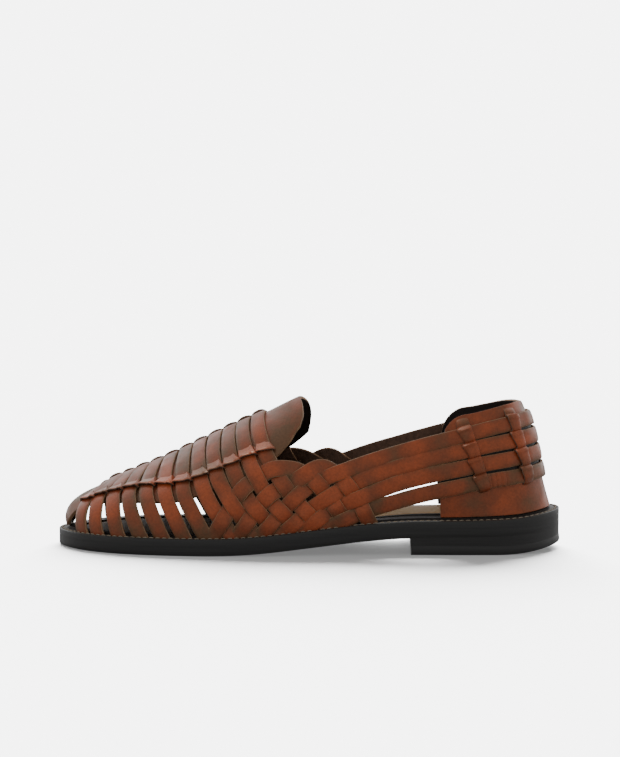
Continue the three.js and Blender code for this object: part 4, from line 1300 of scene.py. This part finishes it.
def make_room(light):
    """Pale room, brightest towards the backdrop and dimmer behind the camera."""
    world = bpy.data.worlds.new("studio")
    world.use_nodes = True
    tree = world.node_tree
    tree.nodes.remove(tree.nodes["Background"])
    direction = add_node(tree, "TexCoord", {}, "Generated")
    depth = add_node(tree, "SeparateXYZ", {"Vector": direction}, "Y")
    ahead = spread(tree, depth, (light.side, light.backdrop_lit), ROOM_AHEAD)
    behind = spread(tree, depth, (light.behind_camera, 1.0), ROOM_BEHIND)
    lit = add_node(tree, "Math", {0: ahead, 1: behind}, "Value", operation="MULTIPLY")
    sky = seen_and_lit(tree, "Background", grey(light.backdrop), lit)
    set_inputs(tree, tree.nodes["World Output"], {"Surface": sky})
    bpy.context.scene.world = world


def light_only(lamp, pieces):
    """Lets a lamp light these pieces alone."""
    only = bpy.data.collections.new("lit_by_" + lamp.name)
    for piece in pieces:
        only.objects.link(piece)
    lamp.light_linking.receiver_collection = only


def lamp_from(name, data, source):
    """A lamp that shines towards the shoe from a place or direction."""
    lamp = add_to_scene(name, data)
    lamp.rotation_euler = Vector(source).to_track_quat("Z", "Y").to_euler()
    return lamp


def make_window(light, floor):
    """Broad window behind the shoe that lights the floor alone and throws the shoe's soft shadow forward."""
    data = bpy.data.lights.new("window", "SUN")
    data.angle = light.window_width
    data.energy = light.window
    light_only(lamp_from("window", data, WINDOW_PLACE), [floor])


def make_lamp(light):
    """Small lamp overhead that puts a glint on each loop of the bands."""
    data = bpy.data.lights.new("lamp", "AREA")
    data.shape = "DISK"
    data.size = light.lamp_size
    data.energy = light.lamp_power
    lamp = lamp_from("lamp", data, LAMP_PLACE)
    lamp.location = LAMP_PLACE
    light_only(lamp, [bpy.data.objects[name] for name in BAND_PIECES])


def make_camera():
    azimuth = math.radians(VIEW["azimuth"])
    elevation = math.radians(VIEW["elevation"])
    back = Vector((math.sin(azimuth) * math.cos(elevation), -math.cos(azimuth) * math.cos(elevation),
                   math.sin(elevation)))
    target = Vector(VIEW["target"]) * MM
    data = bpy.data.cameras.new("photo_camera")
    data.sensor_fit = "VERTICAL"
    data.sensor_height = SENSOR
    data.lens = VIEW["distance"] / IMAGE["scale"] * SENSOR / IMAGE["height"]
    data.shift_x = (IMAGE["width"] / 2 - IMAGE["target_px"][0]) / IMAGE["height"]
    data.shift_y = (IMAGE["target_px"][1] - IMAGE["height"] / 2) / IMAGE["height"]
    data.clip_start, data.clip_end = CLIP
    camera = add_to_scene("photo_camera", data)
    camera.location = target + back * VIEW["distance"] * MM
    camera.rotation_euler = (-back).to_track_quat("-Z", "Y").to_euler()
    bpy.context.scene.camera = camera


# Panel values
def length(name, description, default):
    return bpy.props.FloatProperty(name=name, description=description, default=default, unit="LENGTH",
                                   precision=5)


def colour(name, description, default):
    return bpy.props.FloatVectorProperty(name=name, description=description, default=default, size=3,
                                         subtype="COLOR", min=0.0, max=1.0)


def number(name, description, default):
    return bpy.props.FloatProperty(name=name, description=description, default=default, min=0.0)


class LoaferSizes(bpy.types.PropertyGroup):
    strap_thickness: length("Strap thickness", "Thickness of a strap's leather", 0.0018)
    strap_height: length("Strap height", "From the last to a strap's underside where it lies plain", 0.0021)
    weave_lift: length("Weave lift", "How far a strap rises or dips at a crossing", 0.00125)
    bridge_dip: length("Bridge dip", "How far a strap dips where it passes under a band", 0.0007)
    plate_thickness: length("Sheet thickness", "Thickness of apron and counter leather", 0.0014)
    stitch_pitch: length("Stitch pitch", "Length of one stitch of the welt with its gap", 0.00385)
    stitch_inset: length("Stitch inset", "From the edge of the sole to the welt stitches", 0.0021)
    thread_thickness: length("Thread thickness", "Thickness of the welt thread", 0.0008)


class LoaferLight(bpy.types.PropertyGroup):
    backdrop: number("Backdrop", "How bright the backdrop looks", 6.2)
    side: number("Sides", "Light from overhead and from the sides of the room", 0.76)
    backdrop_lit: number("Backdrop, lit", "Light from the backdrop", 1.8)
    behind_camera: number("Behind the camera", "Share of the light that comes from behind the camera", 0.9)
    floor_seen: number("Floor, seen", "How pale the floor looks against the light on it", 0.25)
    floor_lit: number("Floor, lit", "Share of the light that the floor throws back on the shoe", 0.014)
    shadow_glow: number("Shadow", "How light the floor stays in the deepest shadow", 0.2)
    window: number("Window", "Strength of the window light on the floor", 126.0)
    window_width: bpy.props.FloatProperty(name="Window width",
                                          description="How wide the window looks from the shoe",
                                          default=math.radians(56), subtype="ANGLE")
    lamp_power: bpy.props.FloatProperty(name="Lamp power", description="Power of the small lamp", default=6.0,
                                        unit="POWER")
    lamp_size: length("Lamp size", "Width of the small lamp", 0.16)


class LoaferColours(bpy.types.PropertyGroup):
    leather: colour("Leather", "Main colour of the straps", (0.2, 0.0455, 0.0188))
    # The dark and light leather colours are reached through the tone, so besides burnished and rubbed leather
    # they give painted shade and painted light
    leather_dark: colour("Leather, dark", "Burnished parts", (0.108, 0.051, 0.025))
    leather_light: colour("Leather, light", "Rubbed parts", (0.325, 0.0635, 0.0215))
    # Pale raw edges of the straps, made paler still as a painted highlight along the edges
    cut_edge: colour("Cut edge", "Raw edges of the straps", (0.34, 0.19, 0.1))
    # The flesh colour is also painted shadow on the low edges of the bands
    flesh: colour("Flesh side", "Inside of the straps", (0.16, 0.09, 0.06))
    # The lining colour is also painted shade on the counter between the heel straps
    lining: colour("Lining", "Inside of tongue and counter", (0.016, 0.009, 0.007))
    sole: colour("Sole edge", "Blackened edge of the sole", (0.023, 0.0222, 0.0214))
    welt: colour("Welt", "Top of the welt", (0.05, 0.038, 0.03))
    insole: colour("Insole", "Leather the foot stands on", (0.37, 0.235, 0.115))
    thread: colour("Thread", "Welt thread", (0.28, 0.23, 0.165))


class LOAFER_OT_sole(bpy.types.Operator):
    """Makes outsole, welt, heel and insole"""
    bl_idname = "loafer.sole"
    bl_label = "Sole and heel"

    def execute(self, context):
        make_sole()
        return {"FINISHED"}


class LOAFER_OT_stitches(bpy.types.Operator):
    """Sews the welt"""
    bl_idname = "loafer.stitches"
    bl_label = "Welt stitches"

    def execute(self, context):
        make_stitches(context.scene.loafer_sizes)
        return {"FINISHED"}


class LOAFER_OT_straps(bpy.types.Operator):
    """Weaves the straps of the upper"""
    bl_idname = "loafer.straps"
    bl_label = "Woven straps"

    def execute(self, context):
        make_straps(context.scene.loafer_sizes)
        return {"FINISHED"}


class LOAFER_OT_apron(bpy.types.Operator):
    """Makes the apron with its bridges and tongue"""
    bl_idname = "loafer.apron"
    bl_label = "Apron and tongue"

    def execute(self, context):
        make_apron(context.scene.loafer_sizes)
        return {"FINISHED"}


class LOAFER_OT_counter(bpy.types.Operator):
    """Makes the heel counter with its bands"""
    bl_idname = "loafer.counter"
    bl_label = "Heel counter"

    def execute(self, context):
        make_counter(context.scene.loafer_sizes)
        return {"FINISHED"}


class LOAFER_OT_stage(bpy.types.Operator):
    """Sets up floor, light and camera"""
    bl_idname = "loafer.stage"
    bl_label = "Stage"

    def execute(self, context):
        light = context.scene.loafer_light
        floor = make_floor(light)
        make_room(light)
        make_window(light, floor)
        make_lamp(light)
        make_camera()
        return {"FINISHED"}


OPERATORS = (
    LOAFER_OT_sole, LOAFER_OT_stitches, LOAFER_OT_straps, LOAFER_OT_apron, LOAFER_OT_counter, LOAFER_OT_stage,
)


class LOAFER_PT_panel(bpy.types.Panel):
    """Lists the steps that make the loafer"""
    bl_idname = "LOAFER_PT_panel"
    bl_label = "Woven loafer"
    bl_space_type = "VIEW_3D"
    bl_region_type = "UI"
    bl_category = "Loafer"

    def draw(self, context):
        for operator in OPERATORS:
            self.layout.operator(operator.bl_idname)
        for group in (context.scene.loafer_sizes, context.scene.loafer_colours, context.scene.loafer_light):
            for name in group.bl_rna.properties.keys():
                if name not in ("rna_type", "name"):
                    self.layout.prop(group, name)


CLASSES = (LoaferSizes, LoaferColours, LoaferLight, *OPERATORS, LOAFER_PT_panel)


def register():
    for cls in CLASSES:
        bpy.utils.register_class(cls)
    bpy.types.Scene.loafer_sizes = bpy.props.PointerProperty(type=LoaferSizes)
    bpy.types.Scene.loafer_colours = bpy.props.PointerProperty(type=LoaferColours)
    bpy.types.Scene.loafer_light = bpy.props.PointerProperty(type=LoaferLight)


def unregister():
    del bpy.types.Scene.loafer_light
    del bpy.types.Scene.loafer_colours
    del bpy.types.Scene.loafer_sizes
    for cls in reversed(CLASSES):
        bpy.utils.unregister_class(cls)


def main():
    register()
    bpy.ops.loafer.sole()
    bpy.ops.loafer.stitches()
    bpy.ops.loafer.straps()
    bpy.ops.loafer.apron()
    bpy.ops.loafer.counter()
    bpy.ops.loafer.stage()
    bpy.context.view_layer.update()


if __name__ == "__main__":
    main()
